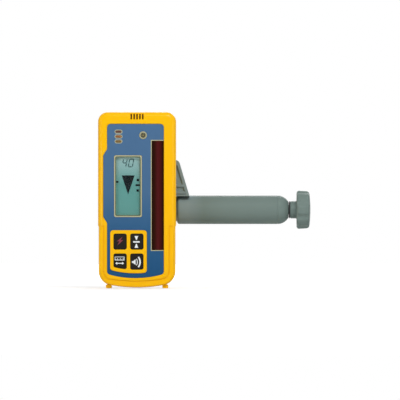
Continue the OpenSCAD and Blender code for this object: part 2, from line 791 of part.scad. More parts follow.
module photodiode_board() color(board_green) difference() {
    slab(board_y, board_back_y)
        polygon(round_box(diode_board_w, window_h + 2 * diode_board_over, [window_x, on_grade_z], board_r));
    for (p = board_screw_places) rod_y(p.x, p.y, board_screw_r + fit, board_y - over, board_back_y + over);
}

module photodiodes() color(rubber_black) for (i = [0:diode_count - 1]) {
    run = window_h / 2 - diode_end;
    translate([window_x, board_y - diode_size.y / 2, on_grade_z - run + 2 * run * i / (diode_count - 1)])
        cube(diode_size, center = true);
}

// Light pipe of one indicator: an oval face and a flange behind the wall
module indicator_lens(i) {
    slab(overlay_y - fit, board_y - led_chip.y - led_gap) polygon(led_outline(i, 0));
    slab(inner_y + fit, inner_y + fit + flange_t) polygon(led_outline(i, -led_flange));
}
module high_lens() color(lens_red) indicator_lens(0);
module on_grade_lens() color(lens_orange) indicator_lens(1);
module low_lens() color(lens_amber) indicator_lens(2);
module indicator_leds() color(pale) for (i = [0:2])
    translate([led_x, board_y - led_chip.y / 2, led_top_z - i * led_pitch]) cube(led_chip, center = true);

module strobe_ring() color(pale) difference() {
    rod_y(strobe_x, strobe_z, strobe_ring_r, overlay_y - strobe_proud, seat_y + window_seat_t);
    rod_y(strobe_x, strobe_z, strobe_r + fit, overlay_y - strobe_proud - over, seat_y + window_seat_t + over);
}
module strobe_lens() color(lens_smoke) {
    rod_y(strobe_x, strobe_z, strobe_r, overlay_y, inner_y + fit + over);
    rod_y(strobe_x, strobe_z, strobe_flange_r, inner_y + fit, inner_y + fit + flange_t);
}
module strobe_diode() color(rubber_black)
    rod_y(strobe_x, strobe_z, strobe_diode_r, inner_y + fit + flange_t + run_gap, board_y);

module keypad_bezel() color(yellow) slab(bezel_y, seat_y) difference() {
    polygon(keypad_outline(0));
    for (col = [0, 1], row = [0, 1]) polygon(key_outline(col, row, 0));
}

// A key: cap through the bezel and the wall, a flange that keeps it in, and an actuator
module key(col, row) color(key_black) {
    back_y = inner_y + fit + flange_t;
    slab(key_y, back_y) polygon(key_outline(col, row, run_gap));
    slab(inner_y + fit, back_y) polygon(key_outline(col, row, -flange_over));
    rod_y(key_middle(col, row).x, key_middle(col, row).y, actuator_r, back_y - fit, back_y + fit);
}
module power_key() key(0, 0);
module deadband_key() key(1, 0);
module units_key() key(0, 1);
module volume_key() key(1, 1);

// Switches under the keys: their plungers stop short of a pressed key
module tact_switches() color(steel) for (col = [0, 1], row = [0, 1]) {
    m = key_middle(col, row);
    tip_y = inner_y + 2 * fit + flange_t + key_travel + fit;
    slab(tip_y + plunger_t, board_y) polygon(box_points(switch_w, switch_w, m));
    rod_y(m.x, m.y, plunger_r, tip_y, tip_y + plunger_t + fit);
}

module main_board() color(board_green) difference() {
    slab(board_y, board_back_y) polygon(round_box(main_board_r - main_board_l, main_board_t - main_board_b,
        [main_board_l + main_board_r, main_board_b + main_board_t] / 2, board_r));
    for (p = board_screw_places) rod_y(p.x, p.y, board_screw_r + fit, board_y - over, board_back_y + over);
}

module board_screws() color(steel) for (p = board_screw_places) {
    rod_y(p.x, p.y, board_screw_r - shaft_gap, inner_y + 2 * over, board_back_y + over);
    rod_y(p.x, p.y, board_screw_head_r, board_back_y, board_back_y + board_screw_head_t);
}

// Flat flexible link between the two boards
module board_link() color(brass) translate([(main_board_r + window_x - diode_board_w / 2) / 2,
    board_back_y + link_size.y / 2, display_z]) cube(link_size, center = true);

module beeper() color(rubber_black) difference() {
    rod_y(beeper_x, beeper_z, beeper_r, board_y - beeper_t, board_y);
    rod_y(beeper_x, beeper_z, slot_w, board_y - beeper_t - over, board_y - beeper_t + over);
}
module sound_membrane() color(rubber_black) block(-slot_count * slot_pitch / 2, slot_count * slot_pitch / 2,
    inner_y, inner_y + membrane_t, slot_top - slot_h - over, top_z - shell_wall - fit);

// Two cells, side by side, pointing opposite ways
function cell_z(i) = bay_b + bay_play + cell_d / 2 + i * (cell_d + bay_play);
module battery_cells() color(cell_gold) for (i = [0, 1]) translate([0, cell_y, cell_z(i)])
    rotate([0, i == 0 ? 90 : -90, 0]) {
        translate([0, 0, -cell_l / 2]) cylinder(d = cell_d, h = cell_l - cell_cap_t);
        cylinder(r = cell_cap_r, h = cell_l / 2);
    }

// Bent strip contacts at both ends of the bay
module battery_contacts() color(steel) for (i = [0, 1], s = [-1, 1]) {
    wall_x = bay_w / 2 - shaft_gap;
    tip_x = cell_l / 2 + shaft_gap;
    half = contact_w / 2;
    translate([0, cell_y, cell_z(i) - half]) linear_extrude(contact_w) polygon([
        [s * wall_x, -half], [s * wall_x, half], [s * (wall_x - contact_t), half],
        [s * tip_x, 0], [s * (wall_x - contact_t), -half]
    ]);
}

module battery_seal() color(rubber_black) slab(seal_y, seal_y + seal_t) difference() {
    polygon(box_points(bay_w + bay_wall + seal_w, bay_h + bay_wall + seal_w - fit, [0, bay_b + bay_h / 2]));
    polygon(box_points(bay_w + bay_wall - seal_w, bay_h + bay_wall - seal_w - fit, [0, bay_b + bay_h / 2]));
}

// Door of the battery bay, with its hinge barrel along the top
module battery_door() color(yellow) difference() {
    union() {
        block(-door_w / 2, door_w / 2, door_in_y, back_y, door_bottom, hinge_z - hinge_r - run_gap);
        block(-knuckle_x + run_gap, knuckle_x - run_gap, door_in_y, back_y, door_bottom, hinge_z);
        rod_x(hinge_y, hinge_z, hinge_r, -knuckle_x + run_gap, knuckle_x - run_gap);
    }
    rod_x(hinge_y, hinge_z, hinge_pin_r + shaft_gap, -bay_w, bay_w);
}
module door_pin() color(steel)
    rod_x(hinge_y, hinge_z, hinge_pin_r, -knuckle_x - knuckle_l, knuckle_x + knuckle_l);

module thread_insert() color(brass) difference() {
    rod_y(0, mount_z, insert_r, back_y - insert_l + fit, back_y);
    rod_y(0, mount_z, mount_screw_r + shaft_gap, back_y - insert_l, back_y + over);
}

// Jaw seen from above, gripping towards -x, with a notch for round rods
function jaw_profile(face_x) = [
    [face_x, rod_seat_y + run_gap],
    [face_x + jaw_t, rod_seat_y + run_gap],
    [face_x + jaw_t, rod_seat_y + jaw_d - jaw_chamfer],
    [face_x + jaw_t - jaw_chamfer, rod_seat_y + jaw_d],
    [face_x, rod_seat_y + jaw_d],
    [face_x, rod_seat_y + (jaw_d + notch_w) / 2],
    [face_x + notch_d, rod_seat_y + jaw_d / 2],
    [face_x, rod_seat_y + (jaw_d - notch_w) / 2]
];
function pad_profile(face_x) = let (half = notch_w / 2 + pad_over, mid = rod_seat_y + jaw_d / 2) [
    [face_x, mid - half], [face_x, mid - notch_w / 2], [face_x + notch_d, mid],
    [face_x, mid + notch_w / 2], [face_x, mid + half], [face_x - pad_t, mid + half],
    [face_x - pad_t, mid + notch_w / 2], [face_x + notch_d - pad_t, mid],
    [face_x - pad_t, mid - notch_w / 2], [face_x - pad_t, mid - half]
];
module upright(h) translate([0, 0, barrel_z - h / 2]) linear_extrude(h) children();
module mirrored_jaw() translate([2 * gap_mid, 0, 0]) mirror([1, 0, 0]) children();

// Plate behind the housing, with the gusset that rises beside it and the rib that ties both to the barrel
function plate_outline() = rounded([
    [-plate_reach, mount_z - plate_half], [barrel_x, plate_low_z], [barrel_x, gusset_low_z],
    [gusset_foot_x, gusset_low_z], [gusset_foot_x, on_grade_z],
    [gusset_head_x, gusset_top_z], [half_w / 2, gusset_top_z], [-plate_reach, mount_z + plate_half]
], [plate_corner, 0, 0, 0, 0, gusset_r, gusset_r, plate_corner], corner_steps);
function gusset_x(z) = gusset_foot_x
    + (gusset_head_x - gusset_foot_x) * (z - on_grade_z) / (gusset_top_z - on_grade_z) - gusset_rim;
function plate_rib_outline() = [
    [barrel_x - root_l, plate_low_z], [barrel_x, plate_low_z], [barrel_x, gusset_low_z],
    [gusset_foot_x, gusset_low_z], [gusset_foot_x, on_grade_z],
    [gusset_x(plate_rib_z) + gusset_rim, plate_rib_z], [barrel_x - root_l, plate_rib_z]
];
module gusset_pockets() {
    levels = concat([0], gusset_rise * gusset_rib_shares, [gusset_rise - gusset_rim - gusset_rib / 2]);
    hidden_x = half_w - gusset_rim;
    for (i = [0:len(levels) - 2]) {
        z0 = on_grade_z + levels[i] + gusset_rib / 2;
        z1 = on_grade_z + levels[i + 1] - gusset_rib / 2;
        slab(plate_y - over, plate_y + gusset_pocket)
            polygon([[hidden_x, z0], [gusset_x(z0), z0], [gusset_x(z1), z1], [hidden_x, z1]]);
    }
}

// Moulded clamp frame: plate, gusset, barrel with its rod seat and slot, and the fixed jaw
module clamp_frame() color(clamp_grey) difference() {
    union() {
        difference() {
            turned_x(barrel_x) polygon([
                [0, -root_l], [cone_r, -root_l], [cone_r, 0], [barrel_r, cone_l], [barrel_r, barrel_l],
                [0, barrel_l]
            ]);
            block(barrel_x - root_l - over, seam_x - seat_run, rod_seat_y, barrel_y + 2 * barrel_r,
                barrel_z - barrel_r, barrel_z + barrel_r);
        }
        slab(plate_y, plate_back_y) polygon(plate_outline());
        slab(plate_y, barrel_y) polygon(plate_rib_outline());
        block(barrel_x - root_l, root_web_x, barrel_y - root_web_t, barrel_y, barrel_z, on_grade_z);
        rod_y(0, mount_z, boss_out_r, plate_back_y - over, boss_face_y);
        mirrored_jaw() upright(jaw_h) polygon(jaw_profile(sliding_face_x));
        upright(jaw_h) polygon([
            [fixed_face_x - jaw_t, barrel_y], [fixed_face_x, barrel_y],
            [fixed_face_x, rod_seat_y + 2 * run_gap], [fixed_face_x - jaw_t, rod_seat_y + 2 * run_gap]
        ]);
        for (s = [-1, 1]) translate([s * dimple_x, plate_y + over, mount_z]) rotate([90, 0, 0])
            cylinder(r1 = dimple_r - fit, r2 = dimple_tip_r, h = dimple_d - 2 * fit + over);
    }
    rod_x(barrel_y, barrel_z, barrel_bore_r, bore_x, seam_x + over);
    rod_x(barrel_y, barrel_z, pilot_end_r, bore_x - pilot_end_l - run_gap, bore_x + over);
    block(slot_start, slot_end, barrel_y, rod_seat_y + over, barrel_z - web_w / 2 - run_gap,
        barrel_z + web_w / 2 + run_gap);
    rod_y(0, mount_z, mount_screw_r + run_gap, plate_y - over, boss_face_y + over);
    rod_y(0, mount_z, clip_bore_r, plate_y - over,
        plate_y + clip_front + clip_ring_t + mount_travel + run_gap);
    gusset_pockets();
}

module fixed_jaw_pad() color(rubber_black) mirrored_jaw() upright(pad_h) polygon(pad_profile(sliding_face_x));

// Domed cap in the end of the barrel, bored for the spindle's bush
module barrel_end_cap() color(clamp_grey) difference() {
    union() {
        turned_x(seam_x) intersection() {
            union() {
                translate([barrel_r - dome_r, 0]) circle(r = dome_r);
                square([barrel_r - dome_r, dome_r]);
            }
            square([barrel_r, dome_l]);
        }
        rod_x(barrel_y, barrel_z, barrel_bore_r - shaft_gap, seam_x - spigot_l, seam_x + over);
    }
    rod_x(barrel_y, barrel_z, bush_r + shaft_gap, seam_x - spigot_l - over, dome_x + over);
}
module spindle_bush() color(brass) difference() {
    spigot_x = seam_x - spigot_l;
    union() {
        rod_x(barrel_y, barrel_z, bush_r, spigot_x - shaft_gap, dome_x);
        rod_x(barrel_y, barrel_z, bush_flange_r, spigot_x - bush_flange_t, spigot_x - shaft_gap);
    }
    rod_x(barrel_y, barrel_z, spindle_r + shaft_gap, spigot_x - 2 * bush_flange_t, dome_x + over);
}

// Spindle: pilot end, screw length and the shank inside the knob
module clamp_spindle() color(steel) {
    rod_x(barrel_y, barrel_z, pilot_end_r - shaft_gap, bore_x - pilot_end_l, bore_x + run_gap + over);
    rod_x(barrel_y, barrel_z, spindle_r, bore_x + run_gap, neck_x);
    difference() {
        rod_x(barrel_y, barrel_z, shank_r, neck_x - over, neck_x + shank_l);
        translate([neck_x + neck_l / 2, barrel_y, 0]) cylinder(r = knob_pin_r + shaft_gap, h = 2 * barrel_z);
    }
}
module thrust_washer() color(steel) difference() {
    rod_x(barrel_y, barrel_z, washer_r, washer_x, washer_x + washer_t);
    rod_x(barrel_y, barrel_z, spindle_r + shaft_gap, washer_x - over, washer_x + washer_t + over);
}
module spindle_clip() color(rubber_black) difference() {
    rod_x(barrel_y, barrel_z, clip_r, clip_x, clip_x + clip_t);
    rod_x(barrel_y, barrel_z, spindle_r + shaft_gap, clip_x - over, clip_x + clip_t + over);
    block(clip_x - over, clip_x + clip_t + over, barrel_y - spindle_r / 2, barrel_y + spindle_r / 2,
        barrel_z, barrel_z + 2 * clip_r);
}

// Fluted knob with a domed end and its neck
function knob_profile() = rounded([
    [0, 0], [neck_r, 0], [neck_r, neck_l], [knob_r, neck_l],
    [knob_r - knob_crown / 2, neck_l + knob_t - knob_crown],
    for (s = crown_shares) [knob_r * s, neck_l + knob_t - knob_crown * pow(s, 2)],
    [0, neck_l + knob_t]
], concat([0, knob_edge / 2, knob_edge / 3, knob_rim, knob_edge], 0 * crown_shares, [0]), small_steps);
module clamp_knob() color(clamp_grey) difference() {
    turned_x(neck_x) polygon(knob_profile());
    for (i = [0:knob_flutes - 1]) translate([neck_x + neck_l - over, barrel_y, barrel_z])
        rotate([360 * (i + 1 / 2) / knob_flutes, 0, 0]) translate([0, 0, knob_r - flute_d + flute_r])
        rotate([0, 90, 0]) cylinder(r = flute_r, h = knob_t + 2 * over);
    rod_x(barrel_y, barrel_z, shank_r + shaft_gap, neck_x - over, neck_x + shank_l + fit);
    translate([neck_x + neck_l / 2, barrel_y, 0]) cylinder(r = knob_pin_r + shaft_gap, h = 2 * barrel_z);
}
module neck_seal() color(rubber_black) difference() {
    rod_x(barrel_y, barrel_z, neck_r - neck_seal_in, dome_x + run_gap, neck_x - shaft_gap);
    rod_x(barrel_y, barrel_z, spindle_r + shaft_gap, dome_x, neck_x);
}
module knob_pin() color(steel) translate([neck_x + neck_l / 2, barrel_y, barrel_z])
    cylinder(r = knob_pin_r, h = 2 * (neck_r - fit), center = true);

// Moving jaw: carriage in the barrel, neck through the slot and the jaw behind the rod seat
module sliding_jaw() color(clamp_grey) difference() {
    union() {
        rod_x(barrel_y, barrel_z, barrel_bore_r - run_gap, carriage_x, carriage_end);
        block(web_x, web_x + web_l, barrel_y, rod_seat_y + 2 * run_gap,
            barrel_z - web_w / 2, barrel_z + web_w / 2);
        upright(jaw_h) polygon(jaw_profile(sliding_face_x));
    }
    rod_x(barrel_y, barrel_z, nut_r + shaft_gap, carriage_end - nut_l, carriage_end + over);
    rod_x(barrel_y, barrel_z, spindle_r + run_gap, carriage_x - over, carriage_end);
}
module jaw_nut() color(brass) difference() {
    rod_x(barrel_y, barrel_z, nut_r, carriage_end - nut_l + shaft_gap, carriage_end);
    rod_x(barrel_y, barrel_z, spindle_r + run_gap, carriage_x, carriage_end + over);
}
module sliding_jaw_pad() color(rubber_black) upright(pad_h) polygon(pad_profile(sliding_face_x));

// Captive screw that fastens the clamp to the housing
module captive_clip() color(steel) difference() {
    rod_y(0, mount_z, clip_ring_r, plate_y + clip_front, plate_y + clip_front + clip_ring_t);
    rod_y(0, mount_z, mount_screw_r + shaft_gap, plate_y, plate_y + 2 * clip_ring_t + clip_front);
}
thumb_y = boss_face_y + run_gap;
module mount_screw() color(steel)
    rod_y(0, mount_z, mount_screw_r, back_y - mount_reach, thumb_y + thumb_t / 2);
module mount_knob() color(clamp_grey) difference() {
    translate([0, thumb_y, mount_z]) rotate([-90, 0, 0]) rotate_extrude() polygon(rounded([
        [0, 0], [thumb_r, 0], [thumb_r, thumb_t], [0, thumb_t]
    ], [0, thumb_edge, thumb_edge, 0], small_steps));
    for (i = [0:thumb_flutes - 1]) translate([0, thumb_y - over, mount_z])
        rotate([0, 360 * i / thumb_flutes, 0])
        translate([thumb_r - thumb_flute_d + thumb_flute_r, 0, 0]) rotate([-90, 0, 0])
        cylinder(r = thumb_flute_r, h = thumb_t + 2 * over);
    rod_y(0, mount_z, mount_screw_r + shaft_gap, thumb_y - over, thumb_y + thumb_t / 2 + fit);
}

module placed() translate(-datum) children();

placed() front_shell();
placed() rear_shell();
placed() shell_gasket();
placed() shell_screws();
placed() face_overlay();
placed() lcd_lens();
placed() lcd_glass();
placed() lcd_carrier();
placed() zebra_strips();
placed() photocell_window();
placed() photodiode_board();
placed() photodiodes();
placed() high_lens();
placed() on_grade_lens();
placed() low_lens();
placed() indicator_leds();
placed() strobe_ring();
placed() strobe_lens();
placed() strobe_diode();
placed() keypad_bezel();
placed() power_key();
placed() deadband_key();
placed() units_key();
placed() volume_key();
placed() tact_switches();
placed() main_board();
placed() board_screws();
placed() board_link();
placed() beeper();
placed() sound_membrane();
placed() battery_cells();
placed() battery_contacts();
placed() battery_seal();
placed() battery_door();
placed() door_pin();
placed() thread_insert();
placed() clamp_frame();
placed() fixed_jaw_pad();
placed() barrel_end_cap();
placed() spindle_bush();
placed() clamp_spindle();
placed() spindle_clip();
placed() thrust_washer();
placed() clamp_knob();
placed() knob_pin();
placed() neck_seal();
placed() sliding_jaw();
placed() jaw_nut();
placed() sliding_jaw_pad();
placed() captive_clip();
placed() mount_screw();
placed() mount_knob();
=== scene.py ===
import bmesh
import bpy
import numpy as np
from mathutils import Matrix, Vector


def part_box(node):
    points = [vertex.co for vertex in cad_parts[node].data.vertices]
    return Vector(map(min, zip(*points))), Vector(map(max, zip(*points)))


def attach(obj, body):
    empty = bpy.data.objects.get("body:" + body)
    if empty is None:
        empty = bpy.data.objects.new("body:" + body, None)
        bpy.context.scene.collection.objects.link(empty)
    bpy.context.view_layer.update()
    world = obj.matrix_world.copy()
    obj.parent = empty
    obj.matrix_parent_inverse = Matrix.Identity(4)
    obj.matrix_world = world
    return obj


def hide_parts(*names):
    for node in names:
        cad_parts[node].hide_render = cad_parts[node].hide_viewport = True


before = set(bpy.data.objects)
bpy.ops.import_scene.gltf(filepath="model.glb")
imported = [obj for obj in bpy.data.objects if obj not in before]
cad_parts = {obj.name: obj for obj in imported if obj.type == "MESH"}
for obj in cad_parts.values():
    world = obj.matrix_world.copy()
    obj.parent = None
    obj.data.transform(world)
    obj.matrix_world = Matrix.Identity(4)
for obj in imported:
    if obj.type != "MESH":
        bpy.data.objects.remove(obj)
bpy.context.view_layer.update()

# Front shell: the yellow front half of the housing, moulded in ABS with a rounded edge, a faint crease across
# the rim, a rolled lip round the panel and a fine groove round the grip. Screws hold it from behind.
# Places are in millimetres: x from the middle line, y behind the rim, z above the feet.
MM = 0.001
shell_low, shell_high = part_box("front_shell")
RIM = np.array([(shell_low.x + shell_high.x) / 2, shell_low.y, shell_low.z])


def extent(node):
    """Lowest and highest corner of a CAD node, in housing millimetres."""
    return [(np.array(corner) - RIM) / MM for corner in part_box(node)]


def middle(node):
    """Middle of a CAD node's box."""
    return sum(extent(node)) / 2


def half_size(node):
    """Half the size of a CAD node's box."""
    low, high = extent(node)
    return (high - low) / 2


half_w, parting, house_top = extent("front_shell")[1]
base_z, bow_r, corner_r, top_r = 0.8, 143, 13.6, 9.5
grip_step, grip_top, grip_edge = 0.6, 61, 0.8
grip_half = half_w - grip_step
edge_reach, edge_depth, edge_crease = 5.5, 5, 0.1
shell_wall, inner_face, seat, lip, seam = 2.4, 3.2, 1.2, 0.8, 0.25


def arc(x, z, r, start, end, steps):
    """Points on a circle about (x, z) from one angle to another, in degrees."""
    a = np.radians(np.linspace(start, end, steps + 1))
    return np.c_[x + r * np.cos(a), z + r * np.sin(a)]


corner_x = grip_half - corner_r
bow_z = base_z + bow_r
corner_z = bow_z - np.sqrt((bow_r - corner_r) ** 2 - corner_x**2)
corner_a = np.degrees(np.arctan2(corner_z - bow_z, corner_x))


def housing_ring(d):
    """The housing's outline moved in by d: bowed base, corner, grip step, side, top corner, mirrored."""
    side = np.linspace(grip_top + grip_edge, house_top - top_r, 32, endpoint=False)
    right = np.vstack([
        arc(0, bow_z, bow_r - d, -90, corner_a, 8)[:-1],
        arc(corner_x, corner_z, corner_r - d, corner_a, 0, 14),
        [[grip_half - d, grip_top - 2 * grip_step], [half_w - d, grip_top]],
        np.c_[np.full(len(side), half_w - d), side],
        arc(half_w - top_r, house_top - top_r, top_r - d, 0, 90, 14),
    ])
    return np.vstack([right, right[:0:-1] * [-1, 1]])


def left_normals(points):
    """Unit directions of an outline's sides into and out of each corner, and their left-hand normals."""
    into = points - np.roll(points, 1, axis=0)
    into /= np.linalg.norm(into, axis=1, keepdims=True)
    out = np.roll(into, -1, axis=0)
    return into, out, into[:, ::-1] * [-1, 1], out[:, ::-1] * [-1, 1]


def inset(points, d):
    """A closed outline moved in by d: each corner goes along the sum of its sides' normals."""
    _, _, a, b = left_normals(np.asarray(points, float))
    return points + d * (a + b) / (1 + (a * b).sum(axis=1, keepdims=True))


def rounded(points, radii, steps=6):
    """A closed outline whose corners are arcs; each centre is the corner moved in by its radius."""
    points = np.asarray(points, float)
    r = np.broadcast_to(radii, len(points)).astype(float)[:, None]
    into, out, a, b = left_normals(points)
    side = np.sign(into[:, 0] * out[:, 1] - into[:, 1] * out[:, 0])[:, None]
    centre = points + side * r * (a + b) / (1 + (a * b).sum(axis=1, keepdims=True))
    bend = side * np.arccos(np.clip((into * out).sum(axis=1, keepdims=True), -1, 1))
    turn = bend * np.linspace(0, 1, steps + 1)
    spoke = -side * r * a
    x = spoke[:, :1] * np.cos(turn) - spoke[:, 1:] * np.sin(turn)
    z = spoke[:, :1] * np.sin(turn) + spoke[:, 1:] * np.cos(turn)
    return np.stack([centre[:, :1] + x, centre[:, 1:] + z], axis=2).reshape(-1, 2)


panel_l, panel_r, panel_b, panel_t = -29.2, 26.1, 9.9, 160
panel_mid = (panel_l + panel_r) / 2
panel_bow_r, panel_corner_r = 97, 3.6
bulge, bulge_slope, bulge_r = 3.8, 6, 1.5
display_low, display_high = extent("lcd_lens")
display_r = 1.6
HUB = middle("lcd_lens")[[0, 2]]


def bow(x, lift):
    """Height of the panel's bowed lower edge, or of a line parallel to it and higher by lift."""
    return panel_b + panel_bow_r - np.sqrt((panel_bow_r - lift) ** 2 - (x - panel_mid) ** 2)


def bow_line(x0, x1, lift, steps):
    """Points along the bow from one x to another."""
    x = np.linspace(x0, x1, steps + 1)
    return np.c_[x, bow(x, lift)]


def panel_ring(d):
    """The panel's outline moved in by d: bowed below, wider on the left beside the display."""
    low, high = display_low[2], display_high[2]
    points = np.vstack([bow_line(panel_l, panel_r, 0, 8), [
        [panel_r, panel_t], [panel_l, panel_t], [panel_l, high + bulge_slope], [panel_l - bulge, high],
        [panel_l - bulge, low], [panel_l, low - bulge_slope],
    ]])
    corner, hollow, hump = panel_corner_r - d, bulge_r + d, bulge_r - d
    radii = [corner] + 7 * [0] + [corner, corner, corner, hollow, hump, hump, hollow]
    return rounded(inset(points, d), np.maximum(radii, 0))


def rect(x0, x1, z0, z1):
    """The corners of a rectangle."""
    return [[x0, z0], [x1, z0], [x1, z1], [x0, z1]]


def display_ring(d):
    """The display lens's outline moved in by d."""
    (l, _, b), (r, _, t) = display_low, display_high
    return rounded(inset(rect(l, r, b, t), d), display_r)


def spokes(ring):
    """Angle of each point of an outline about the display's middle."""
    return np.arctan2(ring[:, 1] - HUB[1], ring[:, 0] - HUB[0])


angles = [spokes(outline(0)) for outline in (housing_ring, panel_ring, display_ring)]
ANGLES = np.unique(np.round(np.concatenate(angles), 4))


def on_spokes(outline, d):
    """An outline moved in by d, with its points on the spokes that all the outlines share."""
    a, ring = spokes(outline(0)), outline(d)
    return np.stack([np.interp(ANGLES, a, ring[:, k], period=2 * np.pi) for k in (0, 1)], axis=1)


def level(ring, y):
    """Lays an outline of x and z at a depth y."""
    return np.insert(np.asarray(ring, float), 1, y, axis=1)


def shade(piece, sharp=32):
    """Smooth shading that keeps the real edges sharp, from an angle in degrees."""
    mesh = piece.data
    mesh.polygons.foreach_set("use_smooth", np.ones(len(mesh.polygons), bool))
    mesh.set_sharp_from_angle(angle=np.radians(sharp))


def skin(name, *solids, looped=False, weld=1e-7):
    """Carries rings of points along a path: quads join each ring to the next, and a face closes each end,
    or the last ring joins the first where the path is looped. Several solids make one piece."""
    points, faces, first = [], [], 0
    for rings in solids:
        rings = np.asarray(rings, float)
        count, around = rings.shape[:2]
        k, i = np.meshgrid(np.arange(count if looped else count - 1), np.arange(around), indexing="ij")
        k2, i2 = (k + 1) % count, (i + 1) % around
        quads = np.stack([k * around + i, k2 * around + i, k2 * around + i2, k * around + i2], axis=-1)
        faces += (quads.reshape(-1, 4) + first).tolist()
        if not looped:
            end = np.arange(around) + first
            faces += [end.tolist(), (end + (count - 1) * around).tolist()]
        points.append(rings.reshape(-1, 3))
        first += count * around
    mesh = bpy.data.meshes.new(name)
    mesh.from_pydata((RIM + MM * np.concatenate(points)).tolist(), [], faces)
    work = bmesh.new()
    work.from_mesh(mesh)
    bmesh.ops.remove_doubles(work, verts=work.verts, dist=weld)
    bmesh.ops.dissolve_degenerate(work, edges=work.edges, dist=weld)
    bmesh.ops.recalc_face_normals(work, faces=work.faces)
    work.to_mesh(mesh)
    work.free()
    piece = bpy.data.objects.new(name, mesh)
    bpy.context.scene.collection.objects.link(piece)
    shade(piece)
    return piece


def cut(piece, *solids, how="DIFFERENCE"):
    """Cuts solids out of a piece and keeps the result as the piece's mesh."""
    tool = skin("tool", *solids)
    step = piece.modifiers.new("carve", "BOOLEAN")
    step.operation, step.solver, step.object = how, "EXACT", tool
    seen = piece.evaluated_get(bpy.context.evaluated_depsgraph_get())
    mesh = bpy.data.meshes.new_from_object(seen)
    piece.modifiers.clear()
    piece.data = mesh
    mesh.name = piece.name
    bpy.data.objects.remove(tool)
    shade(piece)


def join(piece, *solids):
    """Joins solids to a piece."""
    cut(piece, *solids, how="UNION")


def quarter(e, steps):
    """A quarter round of radius e, as pairs of inset and depth: e(1 - sin a) and e(1 - cos a)."""
    a = np.radians(np.linspace(0, 90, steps + 1))
    return list(zip(e * (1 - np.sin(a)), e * (1 - np.cos(a))))


def soft_ends(section, low, high, edge, steps):
    """Sections from one place to another, drawn in along a quarter round at both ends. Each is a function of
    how far it is moved in and of its place."""
    turn = quarter(edge, steps)
    return [section(d, low + t) for d, t in turn] + [section(d, high - t) for d, t in turn[::-1]]


def soft_prism(outline, low, high, edge):
    """An outline carried from one depth to another, with quarter-round edges at both ends."""
    return soft_ends(lambda d, y: level(outline(d), y), low, high, edge, 4)


def box_outline(x0, x1, z0, z1, r=0):
    """A rectangle, as a function of how far it is moved in."""
    return lambda d: rounded(inset(rect(x0, x1, z0, z1), d), max(r - d, 0))


def prism(outline, low, high):
    """A plain cut through an outline from one depth to another."""
    return [level(outline, low), level(outline, high)]


def bar(x0, x1, z0, z1, low, high, r=0):
    """A rectangular bar from one depth to another, with corners of radius r."""
    return prism(box_outline(x0, x1, z0, z1, r)(0), low, high)


def disc(x, z, r, steps=40):
    """A circle."""
    return arc(x, z, r, 0, 360, steps)[:-1]


def tone(r, g, b):
    """A colour as it shows on screen, 0 to 255, in the linear values that a shader takes."""
    c = np.array([r, g, b]) / 255
    return (*np.where(c <= 0.04045, c / 12.92, ((c + 0.055) / 1.055) ** 2.4), 1.0)


def feed(node, **values):
    """Sets a shader node's inputs by name, with _ for a space."""
    for socket, value in values.items():
        node.inputs[socket.replace("_", " ")].default_value = value
    return node


def wire(tree, *runs):
    """Joins shader nodes: each run gives a node, its output, the next node and its input."""
    for start, out, end, into in runs:
        tree.links.new(start.outputs[out], end.inputs[into])


def surface(name, colour, roughness, mottle=0.05, patch=45, grain=2600, depth=0.006, **sockets):
    """A finish: a broad noise mottles the colour and the roughness, and a fine grain is raised by a bump."""
    base = tone(*colour)
    made = bpy.data.materials.new(name)
    made.use_nodes = True
    nodes = made.node_tree.nodes
    shader = feed(nodes["Principled BSDF"], **sockets)
    where = nodes.new("ShaderNodeTexCoord")
    broad = feed(nodes.new("ShaderNodeTexNoise"), Scale=patch, Detail=4)
    fine = feed(nodes.new("ShaderNodeTexNoise"), Scale=grain, Detail=2)
    mix = nodes.new("ShaderNodeMix")
    mix.data_type = "RGBA"
    dark, pale = [(*[min(c * share, 1) for c in base[:3]], 1) for share in (1 - mottle, 1 + mottle)]
    feed(mix, A=dark, B=pale)
    gloss = feed(nodes.new("ShaderNodeMapRange"), To_Min=roughness * 0.85, To_Max=roughness * 1.15)
    bump = feed(nodes.new("ShaderNodeBump"), Distance=depth * MM)
    wire(made.node_tree, (where, "Object", broad, "Vector"), (where, "Object", fine, "Vector"),
         (broad, "Fac", mix, "Factor"), (mix, "Result", shader, "Base Color"),
         (broad, "Fac", gloss, "Value"), (gloss, "Result", shader, "Roughness"),
         (fine, "Fac", bump, "Height"), (bump, "Normal", shader, "Normal"))
    return made


def fit_out(piece, finish, body, slot, *nodes):
    """Gives a piece its finish, lets it ride on a body, and lets it stand for CAD nodes."""
    piece.data.materials.clear()
    piece.data.materials.append(finish)
    even = piece.modifiers.new("even_normals", "WEIGHTED_NORMAL")
    even.keep_sharp = True
    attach(piece, body)
    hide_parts(*nodes)


relief, grip_relief = 0.15, 0.7
crease_x, crease_reach, crease_run = (-34, -16), (5.7, 6.8), 0.35
slim_z, slim_share = (2, 12), (0.35, 1)
least_lean, rim_margin, margin_gain = 0.6, 0.3, 0.15
EDGE = np.radians(np.linspace(90, np.degrees(np.arccos(1 - edge_crease / edge_depth)), 12))
edge_in = edge_reach * (1 - np.sin(EDGE))
outer = on_spokes(housing_ring, 0)
inward = on_spokes(housing_ring, 1) - outer
to_lip = on_spokes(panel_ring, -lip) - outer
lip_room = np.linalg.norm(to_lip, axis=1)
to_lip /= lip_room[:, None]
crease_in = np.interp(outer[:, 0], crease_x, crease_reach)
slim = np.interp(outer[:, 1], slim_z, slim_share)


def rim_ring(d, margin):
    """The edge moved in by d towards the panel's lip, but short of the lip by a margin."""
    run = np.minimum(d / np.maximum((to_lip * inward).sum(axis=1), least_lean), lip_room - margin)
    return outer + to_lip * run[:, None]


